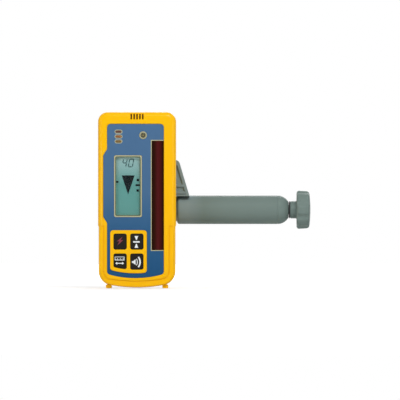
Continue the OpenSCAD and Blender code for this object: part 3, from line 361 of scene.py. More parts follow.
rings = [level(on_spokes(housing_ring, d), parting - t) for d, t in ((seam, 0), (0, seam))]
for a, d in zip(EDGE, edge_in):
    y = edge_depth * (1 - np.cos(a)) - edge_crease + relief * np.cos(a)
    rings.append(level(rim_ring(d * slim, rim_margin + margin_gain * (edge_in[-1] - d)), y))
for run, margin, y in ((0, 0.2, relief), (crease_run, 0.1, 0)):
    rings.append(level(rim_ring(crease_in + run, margin), y))
rings += [level(on_spokes(panel_ring, -d), y) for d, y in quarter(lip, 5)]
lens_seat = display_high[1]
view_ledge, clearance = 1.4, 0.15
rings.append(level(on_spokes(panel_ring, 0), seat))
ledges = ((-clearance, seat), (-clearance, lens_seat), (view_ledge, lens_seat), (view_ledge, inner_face))
rings += [level(on_spokes(display_ring, d), y) for d, y in ledges]
rings += [level(on_spokes(housing_ring, shell_wall), y) for y in (inner_face, parting)]
front_shell = skin("front_shell_moulding", rings, looped=True)
foot_x, foot_w, foot_l, foot_root, foot_r, foot_soft = 27.5, 5.8, 11, 3.6, 1.2, 0.6


def feet(low, high):
    """The two feet under the base, from one depth to another."""
    return [
        soft_prism(box_outline(x - foot_w / 2, x + foot_w / 2, 0, foot_root, foot_r), low, high, foot_soft)
        for x in (-foot_x, foot_x)
    ]


join(front_shell, *feet(parting - foot_l, parting))
clear_x, clear_y, clear_z = half_w + 5, -1, -5
groove_w, groove_h, groove_d = 0.55, 0.9, 0.8


def grip_line(d, drop):
    """The grip's edge across the front, from side to side round the base, moved out by d and lowered."""
    line = (outer + inward * (crease_in - crease_run - d)[:, None])[outer[:, 1] < grip_top - 2]
    (left, _), (right, _) = line[[0, -1]]
    top = grip_top - drop
    return np.vstack([[[-clear_x, top], [left, top]], line, [[right, top], [clear_x, top]]])


grip_recess = np.vstack([grip_line(0, 0), [[clear_x, clear_z], [-clear_x, clear_z]]])
cut(front_shell, prism(grip_recess, clear_y, grip_relief))
grip_groove = np.vstack([grip_line(0, 0), grip_line(groove_w, groove_h)[::-1]])
cut(front_shell, prism(grip_groove, clear_y, grip_relief + groove_d))

LIGHTS = ("high_lens", "on_grade_lens", "low_lens")
light_half_w, light_half_h = 3.0, 1.1


def oval(node, d):
    """The outline of an indicator's face, a slot with round ends, moved in by d."""
    x, z = middle(node)[[0, 2]]
    w, h = light_half_w - d, light_half_h - d
    return np.vstack([arc(x + w - h, z, h, -90, 90, 10), arc(x - w + h, z, h, 90, 270, 10)])


KEY_ROWS = {"power_key": "upper", "units_key": "lower", "deadband_key": "upper", "volume_key": "lower"}
key_flange, key_r, key_lift = 0.8, 2.0, 8.2


def standing(foot, top, r, d):
    """A rectangle on a given lower edge, moved in by d, with four round corners."""
    points = np.vstack([foot, [[foot[-1][0], top], [foot[0][0], top]]])
    radii = np.zeros(len(points))
    radii[[0, len(foot) - 1, -2, -1]] = max(r - d, 0)
    return rounded(inset(points, d), radii)


def key_ring(name, d):
    """A key opening's outline moved in by d: a rectangle, bowed below in the lower row."""
    low, high = extent(name)
    l, r, b = low[0] + key_flange, high[0] - key_flange, low[2] + key_flange
    foot = bow_line(l, r, key_lift, 4) if KEY_ROWS[name] == "lower" else [[l, b], [r, b]]
    return standing(foot, high[2] - key_flange, key_r, d)


window_low, window_high = extent("photocell_window")
window_box = box_outline(window_low[0], window_high[0], window_low[2], window_high[2])
window_ledge = 1.2
strobe = middle("strobe_ring")[[0, 2]]
strobe_r, strobe_lens_r = half_size("strobe_ring")[0], 2.25
slot_w, slot_h, slot_r, slot_pitch, slot_count, slot_top = 1.6, 5.6, 0.3, 2.8, 5, house_top - 1.6
above, pocket, through = seat - 0.5, seat + 1, inner_face + 0.5
cuts = [prism(key_ring(name, 0), above, through) for name in KEY_ROWS]
cuts += [prism(oval(name, -clearance), above, through) for name in LIGHTS]
ledges = ((-clearance, above), (-clearance, pocket), (window_ledge, pocket), (window_ledge, through))
cuts.append([level(window_box(d), y) for d, y in ledges])
ledges = ((strobe_r, above), (strobe_r, pocket), (strobe_lens_r, pocket), (strobe_lens_r, through))
cuts.append([level(disc(*strobe, r + clearance), y) for r, y in ledges])
for x in slot_pitch * (np.arange(slot_count) - (slot_count - 1) / 2):
    cuts.append(bar(x - slot_w / 2, x + slot_w / 2, slot_top - slot_h, slot_top, clear_y, through, slot_r))
cut(front_shell, *cuts)
yellow = surface("yellow_moulding", (255, 191, 0), 0.22, mottle=0.03, Specular_IOR_Level=0.15)
fit_out(front_shell, yellow, "receiver", "housing", "front_shell")

# Face overlay: the blue polycarbonate sheet in the front shell's seat, with a fine matt texture. It is glued
# all round and cut out for the display, the window, the lights and the keypad.
overlay_low, overlay_high = extent("face_overlay")
face = overlay_low[1]
sheet_edge = 0.12
keypad_low, keypad_high = extent("keypad_bezel")
keypad_lift, keypad_r = 4.7, 3


def keypad_ring(d):
    """The keypad's outline moved in by d: a rectangle, bowed below like the panel."""
    return standing(bow_line(keypad_low[0], keypad_high[0], keypad_lift, 6), keypad_high[2], keypad_r, d)


def banded(name, axis, low, high, stops, roughness, grain=2600, depth=0.003, **sockets):
    """A finish whose colour runs through stops between two places along one axis of the object."""
    made = surface(name, stops[0][1], roughness, grain=grain, depth=depth, **sockets)
    nodes = made.node_tree.nodes
    start = RIM["XYZ".index(axis)]
    split = nodes.new("ShaderNodeSeparateXYZ")
    share = feed(nodes.new("ShaderNodeMapRange"), From_Min=start + low * MM, From_Max=start + high * MM)
    ramp = nodes.new("ShaderNodeValToRGB")
    marks = ramp.color_ramp.elements
    while len(marks) < len(stops):
        marks.new(0.5)
    for mark, (place, colour) in zip(marks, stops):
        mark.position, mark.color = place, tone(*colour)
    where, shader = nodes["Texture Coordinate"], nodes["Principled BSDF"]
    wire(made.node_tree, (where, "Object", split, "Vector"), (split, axis, share, "Value"),
         (share, "Result", ramp, "Fac"), (ramp, "Color", shader, "Base Color"))
    return made


sheet = soft_prism(lambda d: panel_ring(clearance + d), face, overlay_high[1], sheet_edge)
overlay = skin("face_overlay_sheet", sheet)
openings = [oval(name, -clearance) for name in LIGHTS]
openings += [display_ring(-clearance), keypad_ring(-clearance), disc(*strobe, strobe_r + clearance)]
openings.append(rounded(rect(window_low[0] - clearance, window_high[0] + 1, window_low[2] - clearance,
                             window_high[2] + clearance), 0))
cut(overlay, *[prism(outline, face - 1, seat + 1) for outline in openings])
blue = banded("blue_overlay", "Z", overlay_low[2], overlay_high[2], [
    (0, (25, 78, 122)), (0.3, (43, 90, 131)), (0.55, (68, 104, 140)), (1, (72, 107, 144)),
], 0.5, grain=1800, depth=0.01, Specular_IOR_Level=0.15)
fit_out(overlay, blue, "receiver", "panel", "face_overlay")

# Printed lines: pale ink round the display, the window and the three lights, and a dark olive mask inside the
# display's frame that hides the ledge behind the lens and is partly painted shade along the display's edge.
# They are screen printed on the overlay and on the lens, a few hundredths thick.
INK = 0.05


def ribbon(outer, inner, y, lift=INK):
    """A line of ink between two outlines that have the same number of points, on a face at depth y."""
    foot, top = y + INK / 2, y - lift
    return [level(outer, foot), level(outer, top), level(inner, top), level(inner, foot)]


def stamp(outlines, y):
    """Filled shapes of ink on a face at depth y."""
    return [prism(outline, y - INK, y + INK / 2) for outline in outlines]


frame_edge, frame_line, mask_edge, window_line, light_line = 0.05, 0.9, 1.75, 0.7, 0.6
lines = [ribbon(display_ring(frame_edge), display_ring(frame_line), face)]
lines += [ribbon(oval(name, -light_line - clearance), oval(name, -clearance), face) for name in LIGHTS]
pale_ink = surface("pale_ink", (184, 182, 144), 0.55, mottle=0.04, patch=300)
fit_out(skin("printed_frames", *lines, looped=True), pale_ink, "receiver", "white_plastic")
line_x, line_end = window_low[0] - clearance, overlay_high[0] - clearance
inner_line = rect(line_end, line_x, window_low[2] - clearance, window_high[2] + clearance)
outer_line = np.array(inner_line) + window_line * np.array([[0, -1], [-1, -1], [-1, 1], [0, 1]])
bracket = np.vstack([inner_line, outer_line[::-1]])
fit_out(skin("printed_window_line", *stamp([bracket], face)), pale_ink, "receiver", "white_plastic")
# The olive mask hides the ledge, and its band reaches past the ledge onto the display as painted shade.
olive_mask_shade_ink = surface("olive_mask_shade_ink", (74, 88, 62), 0.5, mottle=0.08, patch=200)
mask_line = ribbon(display_ring(frame_line), display_ring(mask_edge), face, INK * 0.8)
fit_out(skin("printed_display_mask_painted_shade", mask_line, looped=True), olive_mask_shade_ink, "receiver", "black_part")

# Display lens: a clear acrylic sheet in the front shell's pocket, flush with the overlay and glued on the
# ledge behind it. Its edges are polished.
lens_edge = 0.15
clear = surface("clear_acrylic", (30, 40, 38), 0.06, mottle=0.05, depth=0.0005, Alpha=0.1, IOR=1.49)
lens = skin("display_window", soft_prism(display_ring, face, lens_seat, lens_edge))
fit_out(lens, clear, "receiver", "clear", "lcd_lens")

# Display glass: two thin sheets with the liquid crystal between them and a grey-green reflector behind, with
# painted light that makes it a shade lighter at the top. It stays as the CAD node, held by the carrier.


def dress(finish, *nodes):
    """Gives CAD nodes that stay a finish."""
    for node in nodes:
        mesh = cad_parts[node].data
        mesh.materials.clear()
        mesh.materials.append(finish)


# The reflector's colour is painted light: it runs a shade lighter towards the top, as if lit from above.
glass = banded("display_reflector_painted_light", "Z", display_low[2], display_high[2], [
    (0, (112, 178, 171)), (0.55, (112, 180, 173)), (0.8, (158, 205, 203)), (1, (176, 216, 215)),
], 0.45, grain=900, depth=0.004, Specular_IOR_Level=0.1)
dress(glass, "lcd_glass")

# Display segments: the dark shapes that the liquid crystal shows, two slanted digits, a pointer and four
# small marks. They are thin plates on the front of the glass.
glass_face = extent("lcd_glass")[0][1]
digit_h, stroke, slant, digit_base, bar_gap = 7.5, 0.95, 0.2, 118.2, 0.12
BARS = {"a": (0, 2, 1, 2), "b": (1, 2, 1, 1), "c": (1, 1, 1, 0), "d": (0, 0, 1, 0), "e": (0, 1, 0, 0),
        "f": (0, 2, 0, 1), "g": (0, 1, 1, 1)}


def digit(lit, x, w):
    """The bars of a seven-segment digit: hexagons along its lit sides, sheared by the slant."""
    ends = np.array([BARS[name] for name in lit], float).reshape(-1, 2, 2) * [w, digit_h / 2]
    along = ends[:, 1] - ends[:, 0]
    along /= np.linalg.norm(along, axis=1, keepdims=True)
    cross = along[:, ::-1] * [-1, 1]
    tip, half = bar_gap * along, stroke / 2
    a, b = ends[:, 0] + tip, ends[:, 1] - tip
    bars = np.stack([a, a + half * (along - cross), b - half * (along + cross), b,
                     b - half * (along - cross), a + half * (along + cross)], axis=1)
    return list(bars @ [[1, 0], [slant, 1]] + [x, digit_base])


def block(x, z, w, h, r=0.3):
    """A small rounded rectangle about (x, z)."""
    return box_outline(x - w / 2, x + w / 2, z - h / 2, z + h / 2, r)(0)


pointer = rounded([[-14.9, 109.9], [-8.7, 91.2], [-2.3, 109.9]], 0.15, 3)
marks = [pointer, block(-19.2, 103.6, 2.2, 2.0), block(0.8, 105.3, 2.4, 2.4), block(0.6, 100.3, 4.2, 1.9),
         block(0.6, 95.2, 2.3, 2.4)]
counts = digit("fgbc", -14.6, 3.6) + digit("abcdef", -8.6, 4.0)
for name, shapes, ink, colour in (("display_segments", marks, "segment_black", (2, 16, 23)),
                                  ("display_digits", counts, "segment_grey", (62, 97, 98))):
    finish = surface(ink, colour, 0.4, mottle=0.1, patch=300, Specular_IOR_Level=0.1)
    fit_out(skin(name, *stamp(shapes, glass_face)), finish, "receiver", "black_part")

# Photocell window: a dark red filter bar in acrylic, gently crowned across its width and polished. It sits
# in a pocket of the front shell and runs out to the panel's right edge.
window_half = (window_high[0] - window_low[0]) / 2
window_mid = (window_high[0] + window_low[0]) / 2
window_soft = 0.2


def window_section(d, z):
    """The bar's section at a height, drawn in by d: a front that is a parabola, and a flat back."""
    x = np.linspace(-1, 1, 25)
    half = window_half - d
    front = np.c_[window_mid + x * half, window_low[1] + d + (face - window_low[1]) * x**2]
    back = [[window_mid + half, window_high[1]], [window_mid - half, window_high[1]]]
    return np.insert(np.vstack([front, back]), 2, z, axis=1)


sections = soft_ends(window_section, window_low[2], window_high[2], window_soft, 4)
red = banded("red_filter", "X", window_low[0], window_high[0], [
    (0, (28, 8, 0)), (0.22, (44, 14, 4)), (0.5, (78, 22, 24)), (0.72, (70, 18, 16)),
    (0.86, (50, 14, 2)), (1, (30, 10, 0)),
], 0.25, Specular_IOR_Level=0.04)
fit_out(skin("photocell_filter", sections), red, "receiver", "filter", "photocell_window")

# Indicator lenses: three light pipes in tinted polycarbonate, with oval domed faces through the overlay and
# a flange behind the wall. Red is high, orange on grade and amber low.


def span(node, k):
    """Lowest and highest place of a CAD node along axis k."""
    return [corner[k] for corner in extent(node)]


pipe_flange, dome, dome_start = 0.7, 0.5, 8
flange_y, flange_t = inner_face + clearance, 0.9
flange_end = flange_y + flange_t
tints = (("high_tint", (84, 32, 14)), ("grade_tint", (138, 76, 12)), ("low_tint", (112, 82, 20)))
for name, (tint, colour) in zip(LIGHTS, tints):
    front, end = span(name, 1)
    a = np.radians(np.linspace(dome_start, 90, 8))
    pipe = list(zip(2 * dome * (1 - np.sin(a)), front + dome * (1 - np.cos(a))))
    pipe += [(0, flange_y), (-pipe_flange, flange_y), (-pipe_flange, flange_end), (0, flange_end), (0, end)]
    made = skin(name + "_pipe", [level(oval(name, d), y) for d, y in pipe])
    tinted = surface(name + "_tint", colour, 0.15, mottle=0.12, patch=500, depth=0.001, IOR=1.55)
    fit_out(made, tinted, "receiver", tint, name)

# Strobe sensor: a pale rounded ring, a smoked domed lens inside it and a light-coloured chip that shows as a
# dot in its middle. Ring and lens are pushed into the front shell from the front and from behind.


def spun(profile, x, z, around=48, shape=None):
    """A profile of radius and depth turned about a front-to-back axis: x + r cos a, y, z + r sin a. A shape
    may change the radius by depth and angle."""
    a = np.linspace(0, 2 * np.pi, around, endpoint=False)
    r, y = np.asarray(profile, float).T[:, :, None]
    r = r + 0 * a if shape is None else shape(y, r, a)
    return np.stack([x + r * np.cos(a), y + 0 * r, z + r * np.sin(a)], axis=2)


ring_y, ring_back = span("strobe_ring", 1)
bore = strobe_lens_r + clearance
hoop, hoop_flat = (strobe_r - bore) / 2, 0.8
round_top = arc(bore + hoop, 0, hoop, 0, 180, 12) * [1, -hoop_flat] + [0, ring_y + hoop_flat * hoop]
ring_profile = np.vstack([[[strobe_r, ring_back]], round_top, [[bore, ring_back]]])
pale = surface("pale_plastic", (170, 168, 132), 0.35, mottle=0.05, patch=200)
ring = skin("strobe_bezel", spun(ring_profile, *strobe), looped=True)
fit_out(ring, pale, "receiver", "white_plastic", "strobe_ring")
lens_y, lens_back = span("strobe_lens", 1)
flange_r, lens_dome = half_size("strobe_lens")[0], 0.6
cap = np.radians(np.linspace(0, 90, 9))
lens_profile = np.vstack([
    np.c_[strobe_lens_r * np.sin(cap), lens_y + lens_dome * (1 - np.cos(cap))],
    [[strobe_lens_r, flange_y], [flange_r, flange_y], [flange_r, lens_back], [0, lens_back]],
])
smoke = surface("smoked_lens", (66, 62, 26), 0.12, mottle=0.1, patch=400, depth=0.001, IOR=1.55)
fit_out(skin("strobe_dome", spun(lens_profile, *strobe)), smoke, "receiver", "smoke_tint", "strobe_lens")
chip_profile = np.array([[0, -0.02], [0.55, 0], [0.6, 0.1], [0, 0.12]]) + [0, lens_y]
chip = skin("strobe_chip_mark", spun(chip_profile, *strobe, 20))
fit_out(chip, surface("olive_chip", (150, 138, 70), 0.4, patch=300), "receiver", "smoke_tint")

# Keypad bezel: a yellow moulded frame glued on the front shell, with a soft outer edge and rolled edges
# round its four openings.
bezel_soft, bezel_roll = 0.6, 0.2
bezel_y, bezel_back = keypad_low[1], keypad_high[1]
bezel = skin("keypad_frame", soft_prism(keypad_ring, bezel_y, bezel_back, bezel_soft))
flare = [(-bezel_roll, bezel_y - 1)]
flare += [(-d, bezel_y + t) for d, t in quarter(bezel_roll, 4)]
flare.append((0, bezel_back + 1))
cut(bezel, *[[level(key_ring(name, d), y) for d, y in flare] for name in KEY_ROWS])
fit_out(bezel, yellow, "receiver", "housing", "keypad_bezel")

# Keys: four black silicone caps with soft edges and a slight crown. A flange behind the wall keeps each in,
# and each presses on a switch. Their signs are printed.
key_face = extent("power_key")[0][1] + INK
key_gap, key_soft, crown_in, crown_h = 0.3, 0.5, 2.2, 0.12
black_key = surface("black_silicone", (30, 26, 21), 0.55, mottle=0.1, grain=1500, depth=0.01,
                    Specular_IOR_Level=0.12)
key_cap = [(crown_in, key_face)]
key_cap += [(key_gap + d, key_face + crown_h + t) for d, t in quarter(key_soft, 5)]
key_cap += [(key_gap, flange_y), (-key_flange, flange_y), (-key_flange, flange_end)]
for name in KEY_ROWS:
    made = skin(name + "_cap", [level(key_ring(name, d), y) for d, y in key_cap])
    fit_out(made, black_key, name, "keys", name)

# Key signs: a red bolt for power, two pointers against a bar for the deadband, a rule with a double arrow for
# the units and a speaker for the volume. They are printed on the caps and move with them.


def fan(x, z, r, w, spread, steps=14):
    """A sound wave: the band of width w outside an arc about (x, z)."""
    far, near = arc(x, z, r + w, -spread, spread, steps), arc(x, z, r, spread, -spread, steps)
    return np.vstack([far, near])


bolt = [[-14.0, 50.2], [-19.6, 45.8], [-17.0, 45.8], [-19.2, 41.8], [-13.4, 46.9], [-16.1, 46.9]]
deadband = [[[-2.4, 50.9], [-0.9, 47.0], [-0.3, 47.0], [1.2, 50.9]], block(-0.6, 45.2, 6.4, 1.5, 0.2),
            [[-2.4, 39.4], [1.2, 39.4], [-0.25, 43.4], [-0.95, 43.4]]]
rule_l, rule_b, rule_w, rule_h, rule_r, rule_line = -21.6, 27.2, 9.4, 3.6, 0.4, 0.5
tick_w, tick_r = 0.55, 0.05
ticks = [block(x, rule_b + rule_line + h / 2, tick_w, h, tick_r)
         for x, h in zip(np.linspace(-20.4, -13.4, 6), (0.9, 1.7) * 3)]
rule_box = box_outline(rule_l, rule_l + rule_w, rule_b, rule_b + rule_h, rule_r)
arrow_z, head_half, stem_half = 24.4, 1.4, 0.4
left_tip, left_head, right_head, right_tip = -21.2, -19.2, -14.6, -12.6
half_arrow = np.array([[left_tip, 0], [left_head, -head_half], [left_head, -stem_half],
                       [right_head, -stem_half], [right_head, -head_half], [right_tip, 0]])
arrow = np.vstack([half_arrow, half_arrow[-2:0:-1] * [1, -1]]) + [0, arrow_z]
horn = [[-4.9, 24.7], [-3.8, 24.7], [-1.4, 22.8], [-1.4, 28.4], [-3.8, 26.5], [-4.9, 26.5]]
waves = [fan(-5.4, 25.6, r, w, spread) for r, w, spread in ((5.4, 0.75, 33), (7.6, 1.5, 37))]
white_ink = surface("white_ink", (232, 236, 238), 0.5, mottle=0.03, patch=300)
red_ink = surface("red_ink", (128, 40, 54), 0.5, mottle=0.06, patch=300)
signs = {"power_key": [bolt], "deadband_key": deadband, "units_key": [*ticks, arrow],
         "volume_key": [horn, *waves]}
for name, shapes in signs.items():
    ink = red_ink if name == "power_key" else white_ink
    fit_out(skin(name + "_sign", *stamp(shapes, key_face)), ink, name, "white_plastic")
rule = skin("units_key_rule", ribbon(rule_box(0), rule_box(rule_line), key_face), looped=True)
fit_out(rule, white_ink, "units_key", "white_plastic")

# Boards and parts inside the housing: CAD nodes that stay, each with its own finish. They are etched boards,
# mouldings and turned or pressed metal, held by screws and clips.
board = surface("green_board", (28, 82, 52), 0.4, mottle=0.2, patch=160, grain=700, depth=0.02)
dress(board, "main_board", "photodiode_board")
dress(surface("white_carrier", (225, 224, 216), 0.5, mottle=0.03), "lcd_carrier", "indicator_leds")
rubber = surface("black_rubber", (30, 30, 31), 0.75, mottle=0.12, grain=1200, depth=0.02)
dress(rubber, "zebra_strips", "shell_gasket", "battery_seal")
dress(surface("brown_mesh", (104, 80, 16), 0.85, mottle=0.2, patch=900, depth=0.02), "sound_membrane")
dress(surface("black_moulding", (24, 24, 26), 0.4, mottle=0.1), "photodiodes", "strobe_diode", "beeper")
dress(surface("amber_flex", (176, 112, 40), 0.35, mottle=0.1, patch=300), "board_link")
metal = dict(mottle=0.06, patch=200, grain=900, depth=0.004, Metallic=1.0)
steel = surface("bright_steel", (190, 192, 194), 0.3, **metal)
dress(steel, "tact_switches", "board_screws", "battery_contacts", "door_pin", "thrust_washer", "spindle_clip",
      "knob_pin", "captive_clip")
brass = surface("turned_brass", (196, 158, 84), 0.32, **metal)
dress(brass, "thread_insert", "spindle_bush", "jaw_nut")

# Rear shell: the yellow back half, a moulded cup with a groove for the gasket, a box for the battery bay,
# ears for the door's hinge, a nick for a fingernail below the door, deep screw holes, and a boss with two
# dimples where the clamp fastens.
back = extent("rear_shell")[1][1]
beyond = back + 1
groove_out, gasket_w, gasket_t = 0.7, 0.9, 1.0
groove_in, groove_y = groove_out + gasket_w, parting + gasket_t
cup = [(shell_wall, back - shell_wall), (shell_wall, parting), (groove_in, parting), (groove_in, groove_y),
       (groove_out, groove_y), (groove_out, parting), (seam, parting), (0, parting + seam)]
cup += list(zip(edge_in, back - edge_depth * (1 - np.cos(EDGE)) + edge_crease))
rear_shell = skin("rear_shell_moulding", [level(housing_ring(d), y) for d, y in cup])
join(rear_shell, *feet(parting, parting + foot_l))

bay_half, bay_floor, bay_low, bay_high, bay_wall, bay_base, bay_r = 29.15, 18.05, 15.5, 45.4, 2.0, 1.6, 1
door_low, door_high = extent("battery_door")
hinge = hinge_y, hinge_z = middle("door_pin")[1:]
pin_r = half_size("door_pin")[1]
hinge_r, hinge_room, gap, press = 2.2, 0.4, 0.3, 0.06
swing_r = hinge_r + hinge_room
mount = _, mount_z = middle("mount_knob")[[0, 2]]
socket_r, socket_l = 7.5, 13
inside = back - shell_wall / 2
box_half, box_low, box_high = bay_half + bay_wall, bay_low - bay_wall, hinge_z + swing_r + bay_wall
join(rear_shell, bar(-box_half, box_half, box_low, box_high, bay_floor - bay_base, inside, bay_r),
     prism(disc(*mount, socket_r), back - socket_l, inside))
cut(rear_shell, bar(-bay_half, bay_half, bay_low, bay_high, bay_floor, beyond, bay_r))


def along_x(profile, x0, x1, soft=0.0):
    """A profile of y and z carried from one x to another, drawn in a little at both ends where it is soft."""
    ends = [(soft, x0), (0, x0 + soft), (0, x1 - soft), (soft, x1)] if soft else [(0, x0), (0, x1)]
    return [np.insert(inset(profile, d), 0, x, axis=1) for d, x in ends]


recess_half = door_high[0] + gap
recess_y = extent("battery_seal")[0][1]
meet = np.degrees(np.arccos((recess_y - hinge_y) / swing_r))
recess = np.vstack([
    [[recess_y, door_low[2] - gap], [beyond, door_low[2] - gap], [beyond, hinge_z + swing_r]],
    arc(*hinge, swing_r, 90, 360 - meet, 20),
])
cut(rear_shell, along_x(recess, -recess_half, recess_half))
ear_in, ear_out = 21.15, 29.15
ear_root = hinge_z + swing_r + bay_wall / 2
ear = np.vstack([
    [[hinge_y, ear_root], [hinge_y - hinge_r, ear_root]], arc(*hinge, hinge_r, 180, 450, 24),
])
join(rear_shell, along_x(ear, -ear_out, -ear_in), along_x(ear, ear_in, ear_out))
SCREWS = [(s * x, z) for x, z in ((29.8, 162.7), (32.3, 58.0), (20.0, 8.3)) for s in (-1, 1)]
sink_r, sink_y, sink_soft = 3.0, 26.0, 0.3


def sink(r):
    """Profile of a round hole from its floor out through the back, with a soft mouth."""
    mouth = r + sink_soft
    return [[0, sink_y], [r, sink_y], [r, back - sink_soft], [mouth, back], [mouth, beyond], [0, beyond]]


nail_r, nail_depth, nail_reach = 16.11, 1.6, 8.0
bend = np.linspace(0, np.arcsin(nail_reach / nail_r), 12)
nail = np.c_[nail_r * np.sin(bend), back - nail_depth + nail_r * (1 - np.cos(bend))]
nail = np.vstack([nail, [[0, back + 3]]])
insert_r = extent("thread_insert")[1][0] + clearance
dimple_x, dimple_r, dimple_d, dimple_tip = 13, 2.2, 1.8, 0.3
dimple_y = back - dimple_d
dimple = [[0, dimple_y], [dimple_tip, dimple_y], [dimple_r, back], [dimple_r, beyond], [0, beyond]]
holes = [spun(sink(sink_r), *place, 32) for place in SCREWS]
holes += [spun(nail, 0, door_low[2] - gap, 64), spun(sink(insert_r), *mount, 40)]
holes += [spun(dimple, x, mount_z, 32) for x in (-dimple_x, dimple_x)]
pin_hole = disc(*hinge, pin_r + press, 24)
holes.append(along_x(pin_hole, -ear_out - 0.5, ear_out + 0.5))
cut(rear_shell, *holes)
fit_out(rear_shell, yellow, "receiver", "housing", "rear_shell")

# Shell screws: six steel pan-head screws with cross recesses, deep in the back, that pull the shells together
# on the gasket.
tip_y = extent("shell_screws")[0][1]
tip_r, tip_l, shank_r, head_r, head_t, head_soft, head_drop = 0.5, 1, 1.15, 2.7, 2.2, 1.0, 1.2
head_y = sink_y + head_t
head = arc(head_r - head_soft, head_y - head_drop, head_soft, 0, 90, 6)
screw_profile = np.vstack([
    [[0, tip_y], [tip_r, tip_y], [shank_r, tip_y + tip_l], [shank_r, sink_y], [head_r, sink_y]],
    head, [[0, head_y]],
])
screws = skin("shell_screw_set", *[spun(screw_profile, *place, 36) for place in SCREWS])
arm, slot_half, floor_share, mouth_share = 1.45, 0.32, 0.7, 1.05
cross_y, cross_end = head_y - 1.3, head_y + 0.3
cross_arm = np.array([[arm, -slot_half], [arm, slot_half], [slot_half, slot_half]])
quarter_turn = np.array([[0, 1], [-1, 0]])
cross = np.vstack([cross_arm @ np.linalg.matrix_power(quarter_turn, k) for k in range(4)])
cut(screws, *[
    [level(cross * floor_share + place, cross_y), level(cross * mouth_share + place, cross_end)]
    for place in np.array(SCREWS)
])
fit_out(screws, steel, "receiver", "steel", "shell_screws")

# Battery cells: two steel cans in printed sleeves, black with a copper band at the plus end, side by side and
# pointing opposite ways between strip contacts.


def turned(profile, y, z, around, shape=None):
    """A profile of x and radius turned about a sideways axis: y + r cos a, z + r sin a, half a step off the
    axes. A shape may change the radius by x and angle."""
    a = 2 * np.pi * (np.arange(around) + 0.5) / around
    x, r = np.asarray(profile, float).T[:, :, None]
    r = r + 0 * a if shape is None else shape(x, r, a)
    return np.stack([x + 0 * r, y + r * np.cos(a), z + r * np.sin(a)], axis=2)


cells_low, cells_high = extent("battery_cells")
cell_r, can_soft, nub_l, nub_r, nub_soft = 7.25, 0.8, 1.3, 2.75, 0.4
cell_y = middle("battery_cells")[1]
can_end, nub_end = cells_high[0] - nub_l, cells_high[0]
nub = rounded(rect(can_end, nub_end, 0, nub_r), [0, 0, nub_soft, 0], 4)[10:16]
can = rounded(rect(-nub_end, can_end, 0, cell_r), [0, 0, can_soft, can_soft], 4)[10:]
can = np.vstack([[[nub_end, 0]], nub, [[can_end, cell_r - can_soft]], can, [[-nub_end, 0]]])
black_sleeve, copper = (28, 27, 28), (190, 118, 62)
sleeve = [(0, black_sleeve), (0.66, black_sleeve), (0.67, copper), (1, copper)]
for name, sign, z in (("cell_right", 1, cells_low[2] + cell_r), ("cell_left", -1, cells_high[2] - cell_r)):
    made = skin(name, turned(can * [sign, 1], cell_y, z, 48))
    finish = banded(name + "_sleeve", "X", -sign * nub_end, sign * nub_end, sleeve, 0.3, IOR=1.5)
    fit_out(made, finish, "receiver", "cell", "battery_cells")

# Battery door: a yellow moulded lid with soft edges and four grip grooves, and a hinge barrel along its top
# that turns on a steel pin.
lid_top, lid_r, lid_soft = hinge_z - hinge_r - gap, 1.2, 0.5
barrel_half, barrel_soft = ear_in - gap, 0.2
lid_box = box_outline(door_low[0], door_high[0], door_low[2], lid_top, lid_r)
lid = skin("battery_lid", soft_prism(lid_box, hinge_y, back, lid_soft))
hinge_part = np.vstack([
    [[hinge_y, lid_top - 1], [back, lid_top - 1], [back, hinge_z]],
    arc(*hinge, hinge_r, 0, 270, 28),
])
join(lid, along_x(hinge_part, -barrel_half, barrel_half, barrel_soft))
cut_half, cut_w, cut_d, cut_r, cut_first, cut_pitch, cut_count = 12, 1.1, 0.45, 0.5, 3.5, 2.4, 4
grooves = [bar(-cut_half, cut_half, z - cut_w / 2, z + cut_w / 2, back - cut_d, beyond, cut_r)
           for z in door_low[2] + cut_first + cut_pitch * np.arange(cut_count)]
cut(lid, *grooves, along_x(pin_hole, -barrel_half - 1, barrel_half + 1))
fit_out(lid, yellow, "battery_door", "housing", "battery_door")

# Clamp frame: a grey-green moulding in filled nylon, a plate with a gusset beside the housing, a round barrel
# with a flat seat for the rod, a slot for the moving jaw, the fixed jaw, and a boss for the fastening screw.
axis = axis_y, axis_z = middle("barrel_end_cap")[1:]
barrel_r = half_size("barrel_end_cap")[2]
seam_x = extent("clamp_frame")[1][0]
barrel_x, cone_l, cone_r, root_l, bore_x, bore_r = 37.4, 2.6, 9.6, 6.0, 46.0, 10.0
root_x = barrel_x - root_l
rod_seat, seat_end = axis_y + 8, seam_x - 4
plate_y, plate_back = back + 0.1, back + 7.1
plate_left, plate_half, plate_head, plate_low, plate_r, plate_soft = -18, 17, 19, axis_z - 6.4, 13.0, 0.5
boss_r, boss_soft, boss_face = 11.0, 0.8, plate_back + 6
gusset_foot, gusset_head, gusset_low, gusset_top, gusset_r = 50.8, 40.5, axis_z + barrel_r, 125.0, 4.5
gusset_lip = gusset_low - 0.9
gusset_root = [[barrel_x, plate_low], [barrel_x, gusset_lip], [gusset_foot, gusset_lip],
               [gusset_foot, gusset_low]]
rise = gusset_top - gusset_low


def plate_ring(d):
    """The plate with its gusset from the front, moved in by d."""
    points = [[plate_left, mount_z - plate_half], *gusset_root, [gusset_head, gusset_top],
              [plate_head, gusset_top], [plate_left, mount_z + plate_half]]
    radii = np.array([plate_r, 0, 0, 0, 0, gusset_r, gusset_r, plate_r])
    return rounded(inset(points, d), np.where(radii > 0, radii - d, 0), 8)


def slope(z):
    """x of the gusset's sloping side at a height."""
    return gusset_foot + (gusset_head - gusset_foot) * (z - gusset_low) / rise


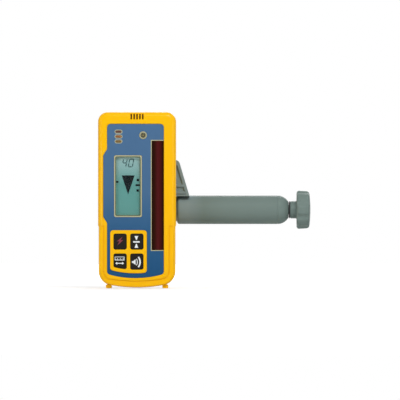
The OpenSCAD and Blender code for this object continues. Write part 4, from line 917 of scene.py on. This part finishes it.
barrel_outline = [[root_x, 0], [seam_x, 0], [seam_x, barrel_r], [barrel_x + cone_l, barrel_r],
                  [barrel_x, cone_r], [root_x, cone_r]]
barrel_radii = [0, 0, 0.4, 2.0, 1.0, 0.8]
barrel_profile = rounded(barrel_outline, barrel_radii, 6)[14:]
barrel_profile = np.vstack([[[seam_x, 0]], barrel_profile, [[root_x, 0]]])
frame_piece = skin("clamp_frame_moulding", turned(barrel_profile, *axis, 96))
far = 20
cut(frame_piece, prism(rect(root_x - 1, seat_end, axis_z - far, axis_z + far), rod_seat, axis_y + far))
join(frame_piece, soft_prism(plate_ring, plate_y, plate_back, plate_soft))
tie_top, tie_y, tie_in, tie_soft = gusset_low + 6, plate_y + 2, 0.05, 0.4


def tie_ring(d):
    """The rib that ties the plate and the gusset to the barrel, from the front, moved in by d."""
    points = [[root_x, plate_low], *gusset_root, [slope(tie_top), tie_top], [root_x, tie_top]]
    return inset(points, d + tie_in)


join(frame_piece, soft_prism(tie_ring, tie_y, axis_y, tie_soft))
web_in, web_y = 0.1, axis_y - 4
web_end = barrel_x + 2 * cone_l
join(frame_piece, bar(root_x + web_in, web_end, axis_z, gusset_low - web_in, web_y, axis_y - web_in))
boss_profile = rounded(rect(0, boss_r, plate_back - 1, boss_face), [0, 0, boss_soft, 0], 5)
peg_r, peg_root, peg_end = dimple_r - clearance, plate_y + 0.5, plate_y - 1.5
peg = [[0, peg_root], [peg_r, peg_root], [peg_r, plate_y], [dimple_tip, peg_end], [0, peg_end]]
join(frame_piece, spun(boss_profile, *mount, 64),
     *[spun(peg, x, mount_z, 24) for x in (-dimple_x, dimple_x)])


def soft_upright(plan, low, high, edge):
    """A plan of x and y, as a function of how far it is moved in, carried up from one height to another with
    quarter-round edges at both ends."""
    return soft_ends(lambda d, z: np.insert(plan(d), 2, z, axis=1), low, high, edge, 3)


jaw_low, jaw_high = extent("sliding_jaw")
jaw_face, jaw_t, jaw_chamfer, jaw_soft, notch_d, notch_half = 97.6, 9.0, 5.0, 1.0, 4.0, 10.0
jaw_end = jaw_high[1]
jaw_mid = rod_seat + (jaw_end - rod_seat) / 2
gap_mid = -RIM[0] / MM


def jaw_plan(root, d):
    """A jaw from above, moved in by d and gripping towards -x: a bar with a chamfered end and a notch for
    round rods."""
    f, t = jaw_face, jaw_face + jaw_t
    points = [[f, root], [t, root], [t, jaw_end - jaw_chamfer], [t - jaw_chamfer, jaw_end], [f, jaw_end],
              [f, jaw_mid + notch_half], [f + notch_d, jaw_mid], [f, jaw_mid - notch_half]]
    radii = np.array([0, 0, 2.5, 2.5, 1.2, 1.2, 0.5, 1.2]) - d * np.array([1, 1, 1, 1, 1, 1, -1, 1])
    return rounded(inset(points, d), np.maximum(radii, 0), 4)


def mirror_plan(points):
    """A plan mirrored across the middle of the jaws' gap, the frame's x = 0, with its turn kept."""
    return (np.asarray(points) * [-1, 1] + [2 * gap_mid, 0])[::-1]


def stepped(places, radii):
    """A stepped bore's profile of place and radius: each radius holds from its place to the next."""
    walls = [[x, r] for r, ends in zip(radii, zip(places, places[1:])) for x in ends]
    return np.array([[places[0], 0], *walls, [places[-1], 0]])


fixed_plan = soft_upright(lambda d: mirror_plan(jaw_plan(axis_y, d)), jaw_low[2], jaw_high[2], jaw_soft)
join(frame_piece, fixed_plan)
tip_x, tip_bore = bore_x - 4.3, 3
cut(frame_piece, turned(stepped((tip_x, bore_x, seam_x + 1), (tip_bore, bore_r)), *axis, 64))
slot_x0, slot_x1, slot_half_z, slot_end_r = 58.5, 127.1, 4.5, 1.5
cut(frame_piece, bar(slot_x0, slot_x1, axis_z - slot_half_z, axis_z + slot_half_z, axis_y, rod_seat + 1,
                     slot_end_r))
mount_r, clip_r, clip_end = 3.3, 6.5, plate_y + 9.2
mount_hole = stepped((plate_y - 2, clip_end, boss_face + 1), (clip_r, mount_r))[:, ::-1]
rib, rim_w, pocket_d, wall_run, wall_share = 1.8, 3.0, 2.0, 1.2, 0.4
shelves = gusset_low + np.array([0, 0.075 * rise, 0.275 * rise, rise - rim_w - rib / 2])
pockets = []
for z0, z1 in zip(shelves[:-1] + rib / 2, shelves[1:] - rib / 2):
    pocket_x, wall_in = half_w - rim_w, min(wall_run, wall_share * (z1 - z0))
    mouth = [[pocket_x, z0], [slope(z0) - rim_w, z0], [slope(z1) - rim_w, z1], [pocket_x, z1]]
    pockets.append([*prism(mouth, plate_y - 1, plate_y), level(inset(mouth, wall_in), plate_y + pocket_d)])
cut(frame_piece, spun(mount_hole, *mount, 40), *pockets)
# Painted light: the frame's colour is lighter across the gusset and the barrel's end beside the housing,
# where the housing's shade falls.
grey_tone, painted_light_tone = (116, 132, 127), (129, 146, 148)
nylon = dict(roughness=0.32, grain=1900, depth=0.012, Specular_IOR_Level=0.03)
grey = surface("grey_nylon", grey_tone, mottle=0.07, patch=60, **nylon)
grey_frame_painted_light = banded("grey_nylon_painted_light", "X", half_w - barrel_r, gusset_foot + barrel_r,
                    [(0, grey_tone), (0.4, painted_light_tone), (0.62, painted_light_tone), (1, grey_tone)], **nylon)
fit_out(frame_piece, grey_frame_painted_light, "receiver", "clamp", "clamp_frame")

# End cap: a domed grey-green cap, moulded in the same nylon with a spigot that is pressed into the end of the
# barrel, and bored for the spindle's bush.
dome_x = extent("barrel_end_cap")[1][0]
dome_r, dome_foot, spigot_l, cap_bore, cap_lip = 12.0, 3, 6.0, 6.06, 0.3
spigot_x, spigot_r = seam_x - spigot_l, bore_r - press
reach = np.degrees(np.arcsin((dome_x - seam_x) / dome_r))
cap_profile = np.vstack([
    [[spigot_x, cap_bore], [spigot_x, spigot_r], [seam_x, spigot_r], [seam_x, barrel_r - cap_lip]],
    arc(0, 0, dome_r, dome_foot, reach, 20)[:, ::-1] + [seam_x, barrel_r - dome_r], [[dome_x, cap_bore]],
])
cap_piece = skin("barrel_cap", turned(cap_profile, *axis, 96), looped=True)
fit_out(cap_piece, grey, "receiver", "clamp", "barrel_end_cap")

# Jaw pads: two ribbed black rubber faces glued on the jaws, bent into the notch so that round and square rods
# both hold.
pad_t, pad_half, ripple_h, ripple_pitch = 1.5, 15.0, 0.22, 2.0
run_y = np.linspace(jaw_mid - pad_half, jaw_mid + pad_half, 181)
seat_x = jaw_face + notch_d * np.clip(1 - np.abs(run_y - jaw_mid) / notch_half, 0, 1)
ripple = ripple_h * (1 + np.cos(2 * np.pi * (run_y - jaw_mid) / ripple_pitch))
grip = np.c_[seat_x - pad_t + ripple, run_y]
plan = np.vstack([np.c_[seat_x, run_y], grip[::-1]])
for name, shape, body in (("sliding_jaw_pad", plan, "sliding_jaw"),
                          ("fixed_jaw_pad", mirror_plan(plan), "receiver")):
    made = skin(name + "_rubber", [np.insert(shape, 2, z, axis=1) for z in span("sliding_jaw_pad", 2)])
    fit_out(made, rubber, body, "seal", name)

# Clamp spindle: a blackened steel screw with a square-shouldered thread of 4 mm pitch, a plain journal in the
# bush and a shank pinned into the knob.
nose_x, tail_x = span("clamp_spindle", 0)
spindle_r = half_size("clamp_spindle")[1]
pitch, thread_d, thread_x, thread_end, thread_fade, thread_square = 4.0, 0.7, bore_x + 0.3, 127.0, 2, 4
nose_r, nose_l, journal_r, stub_r = 2.4, 0.5, 2.94, 3.5


def between(x, low, high, run):
    """1 from one place to another, down to 0 over a run inside both ends."""
    return np.clip((x - low) / run, 0, 1) * np.clip((high - x) / run, 0, 1)


def threaded(x, r, a):
    """Radius of the spindle: the groove is a flattened wave that turns once in a pitch, with soft ends."""
    wave = 0.5 - 0.5 * np.tanh(thread_square * np.cos(2 * np.pi * x / pitch + a))
    return r - thread_d * wave * between(x, thread_x, thread_end, thread_fade)


screw_x = np.arange(thread_x, thread_end + 0.1, 0.25)
neck_x = extent("clamp_knob")[0][0]
spindle_profile = np.vstack([
    [[nose_x, 0], [nose_x, nose_r], [nose_x + nose_l, journal_r], [thread_x, journal_r]],
    np.c_[screw_x, np.full(len(screw_x), spindle_r)],
    [[neck_x, spindle_r], [neck_x, stub_r], [tail_x, stub_r], [tail_x, 0]],
])
spindle = skin("clamp_screw_spindle", turned(spindle_profile, *axis, 48, threaded))
black_steel = surface("black_oxide_steel", (38, 40, 41), 0.5, mottle=0.1, patch=300, grain=3000,
                      Metallic=1.0)
fit_out(spindle, black_steel, "clamp_screw", "steel", "clamp_spindle")

# Clamp knob: a grey-green moulded hand knob with eight shallow flutes, a crowned end and a neck, pinned to
# the spindle.
knob_end = extent("clamp_knob")[1][0]
neck_r, knob_r, crown_d, flute_count, flute_r, flute_d = 8.5, 18.8, 1.4, 8, 6.0, 1.5
grip_x = neck_x + 6.4


def fluted(count, outer, radius, depth, start, soft=0.3):
    """A function that lowers a radius round a circle: each flute is a circle of a given radius that bites in
    by a depth, and it meets the rim in a soft minimum."""
    far = outer - depth + radius

    def lower(r, a):
        step = 2 * np.pi / count
        b = (a - start + step / 2) % step - step / 2
        side = far * np.sin(b)
        edge = far * np.cos(b) - np.sqrt(np.maximum(radius**2 - side**2, 0))
        edge = np.where(np.abs(side) < radius, edge, outer + radius)
        return -soft * np.log(np.exp(-r / soft) + np.exp(-edge / soft))

    return lower


knob_flutes = fluted(flute_count, knob_r, flute_r, flute_d, np.pi / flute_count)


def knob_shape(x, r, a):
    """Radius of the knob: the flutes run along the grip, and the neck and the end's middle stay plain."""
    return np.where((x > grip_x - 0.01) & (r > knob_r - flute_r), knob_flutes(r, a), r)


crown_share = np.linspace(0, 0.8, 9)
crown = np.c_[knob_end - crown_d * crown_share**2, knob_r * crown_share]
knob_corners = [[knob_end - crown_d, knob_r - crown_d / 2], [grip_x, knob_r], [grip_x, neck_r],
                [neck_x, neck_r]]
plain = 1 + len(crown)
knob_outline = np.vstack([[[neck_x, 0]], crown, knob_corners])
knob_radii = [0] * plain + [3.0, 2.4, 1.0, 1.2]
knob_edges = rounded(knob_outline, knob_radii, 8)[9 * plain:]
knob_profile = np.vstack([crown, knob_edges, [[neck_x, 0]]])
knob = skin("clamp_hand_knob", turned(knob_profile, *axis, 160, knob_shape))
fit_out(knob, grey, "clamp_screw", "clamp", "clamp_knob")

# Neck seal: a black rubber ring with a soft lip between the end cap and the knob's neck, which keeps dust out
# of the bush. It turns with the spindle.
seal_x, seal_end = span("neck_seal", 0)
seal_r, seal_bore, seal_soft = half_size("neck_seal")[2], spindle_r + press, 0.25
seal_profile = rounded(rect(seal_x, seal_end, seal_bore, seal_r), [0, 0, seal_soft, seal_soft], 5)
seal = skin("neck_dust_seal", turned(seal_profile, *axis, 64), looped=True)
fit_out(seal, rubber, "clamp_screw", "seal", "neck_seal")

# Sliding jaw: a grey-green moulding whose round carriage runs in the barrel, with a neck through the slot and
# the jaw behind the rod seat. A brass nut is moulded in.
carriage_x, carriage_end, carriage_r, carriage_soft = jaw_low[0], 114.0, bore_r - gap, 0.5
web_x0, web_x1, web_half, web_r = 96.0, 112.0, 4.2, 1.2
carriage = rounded(rect(carriage_x, carriage_end, 0, carriage_r), [0, 0, carriage_soft, carriage_soft], 4)
slider = skin("sliding_jaw_moulding", turned(carriage, *axis, 64))
join(slider, bar(web_x0, web_x1, axis_z - web_half, axis_z + web_half, axis_y, rod_seat + 1, web_r))
join(slider, soft_upright(lambda d: jaw_plan(rod_seat + gap, d), jaw_low[2], jaw_high[2], jaw_soft))
nut_x, nut_r, screw_room = extent("jaw_nut")[0][0] - press, 7.06, 4.8
nut_bore = stepped((carriage_x - 1, nut_x, carriage_end + 1), (screw_room, nut_r))
cut(slider, turned(nut_bore, *axis, 64))
fit_out(slider, grey, "sliding_jaw", "clamp", "sliding_jaw")

# Mounting screw and its thumb knob: a steel screw with a 1.25 mm thread on its front end, moulded into a
# fluted grey-green knob behind the plate. A clip keeps it in the plate.
screw_y, screw_end = span("mount_screw", 1)
screw_r, screw_pitch, screw_root, screw_fade, screw_l = 3.0, 1.25, 0.5, 0.6, 10.0
point_d, point_l = 0.4, 0.5
thread_y = np.linspace(screw_y, screw_y + screw_l, 121)


def mount_thread(y, r, a):
    """Radius of the mounting screw: the thread's groove is a wave that turns once in a pitch, with soft ends,
    and the first turn tapers."""
    wave = 0.5 - 0.5 * np.cos(2 * np.pi * y / screw_pitch + a)
    groove = screw_root * wave * between(y, screw_y, thread_y[-1], screw_fade)
    return r - groove - point_d * (1 - np.clip((y - screw_y) / point_l, 0, 1))


thread_profile = np.c_[np.full(len(thread_y), screw_r), thread_y]
mount_screw = np.vstack([
    spun([[0, screw_y]], *mount, 32), spun(thread_profile, *mount, 32, mount_thread),
    spun([[screw_r, screw_end], [0, screw_end]], *mount, 32),
])
fit_out(skin("mount_screw_thread", mount_screw), steel, "mount_screw", "steel", "mount_screw")
thumb_r, thumb_soft, thumb_rim = 11.0, 1.2, 3
thumb_flutes = fluted(count=10, outer=thumb_r, radius=2.5, depth=1.1, start=0)
thumb_box = rect(0, thumb_r, *span("mount_knob", 1))
thumb_profile = rounded(thumb_box, [0, thumb_soft, thumb_soft, 0], 6)
thumb = spun(thumb_profile, *mount, 160,
             lambda y, r, a: np.where(r > thumb_r - thumb_rim, thumb_flutes(r, a), r))
fit_out(skin("mount_thumb_knob", thumb), grey, "mount_screw", "clamp", "mount_knob")

# Stage: a plain pale floor under the feet, a soft key light from the upper right, three broad fills and a
# white surround. The camera stands square in front and far away.
floor_half, floor_t = 3000, 8
floor = skin("floor", prism(rect(-floor_half, floor_half, -floor_t, 0), -floor_half, floor_half))
floor_paint = surface("pale_floor", (215, 215, 215), 0.9, mottle=0.01, patch=2, grain=60, depth=0.01)
floor.data.materials.append(floor_paint)


def seen_directly(tree, below, above):
    """A node whose result is one value for light that falls on the object and another for what the camera
    sees, also in a reflection or through glass."""
    path = tree.nodes.new("ShaderNodeLightPath")
    total = path.outputs["Is Camera Ray"]
    for ray in ("Is Glossy Ray", "Is Transmission Ray"):
        either = tree.nodes.new("ShaderNodeMath")
        either.operation = "MAXIMUM"
        tree.links.new(total, either.inputs[0])
        tree.links.new(path.outputs[ray], either.inputs[1])
        total = either.outputs["Value"]
    strength = feed(tree.nodes.new("ShaderNodeMapRange"), To_Min=below, To_Max=above)
    tree.links.new(total, strength.inputs["Value"])
    return strength


tree = floor_paint.node_tree
paint = feed(tree.nodes["Principled BSDF"], Emission_Color=(1, 1, 1, 1))
where = tree.nodes.new("ShaderNodeTexCoord")
away = tree.nodes.new("ShaderNodeVectorMath")
away.operation = "LENGTH"
fade = feed(tree.nodes.new("ShaderNodeMapRange"), From_Min=0.3, From_Max=0.9, To_Min=0.4, To_Max=1)
glow = tree.nodes.new("ShaderNodeMath")
glow.operation = "MULTIPLY"
wire(tree, (where, "Object", away, 0), (away, "Value", fade, "Value"), (fade, "Result", glow, 1),
     (seen_directly(tree, below=0, above=1), "Result", glow, 0), (glow, "Value", paint, "Emission Strength"))
world = bpy.data.worlds.new("white_surround")
bpy.context.scene.world = world
world.use_nodes = True
surround = feed(world.node_tree.nodes["Background"], Color=(1, 1, 1, 1))
daylight = seen_directly(world.node_tree, below=0.36, above=1)
wire(world.node_tree, (daylight, "Result", surround, "Strength"))


def lamp(name, place, size, power):
    """A square soft light at a place in metres, turned to face the object."""
    light = bpy.data.lights.new(name, "AREA")
    light.energy, light.size = power, size
    made = bpy.data.objects.new(name, light)
    bpy.context.scene.collection.objects.link(made)
    made.location = place
    made.rotation_euler = (-Vector(place)).to_track_quat("-Z", "Y").to_euler()


lamp("key", (0.3, -1.15, 1.05), size=0.5, power=11.7)
lamp("fill_left", (-1.0, -1.0, 0.16), size=0.45, power=3.5)
lamp("fill_right", (1.0, -1.0, 0.14), size=0.4, power=1.5)
lamp("back", (0.2, 1.3, 0.8), size=1.0, power=9)
view_x, view_z, view_width, distance, sensor = -0.01485, -0.00447, 0.38896, 8.0, 36
camera = bpy.data.objects.new("camera", bpy.data.cameras.new("camera"))
bpy.context.scene.collection.objects.link(camera)
camera.location = (view_x, RIM[1] - distance, view_z)
camera.rotation_euler = (np.pi / 2, 0, 0)
camera.data.sensor_width = sensor
camera.data.lens = sensor * distance / view_width
camera.data.clip_end = 100
bpy.context.scene.camera = camera
bpy.context.scene.view_settings.view_transform = "Standard"
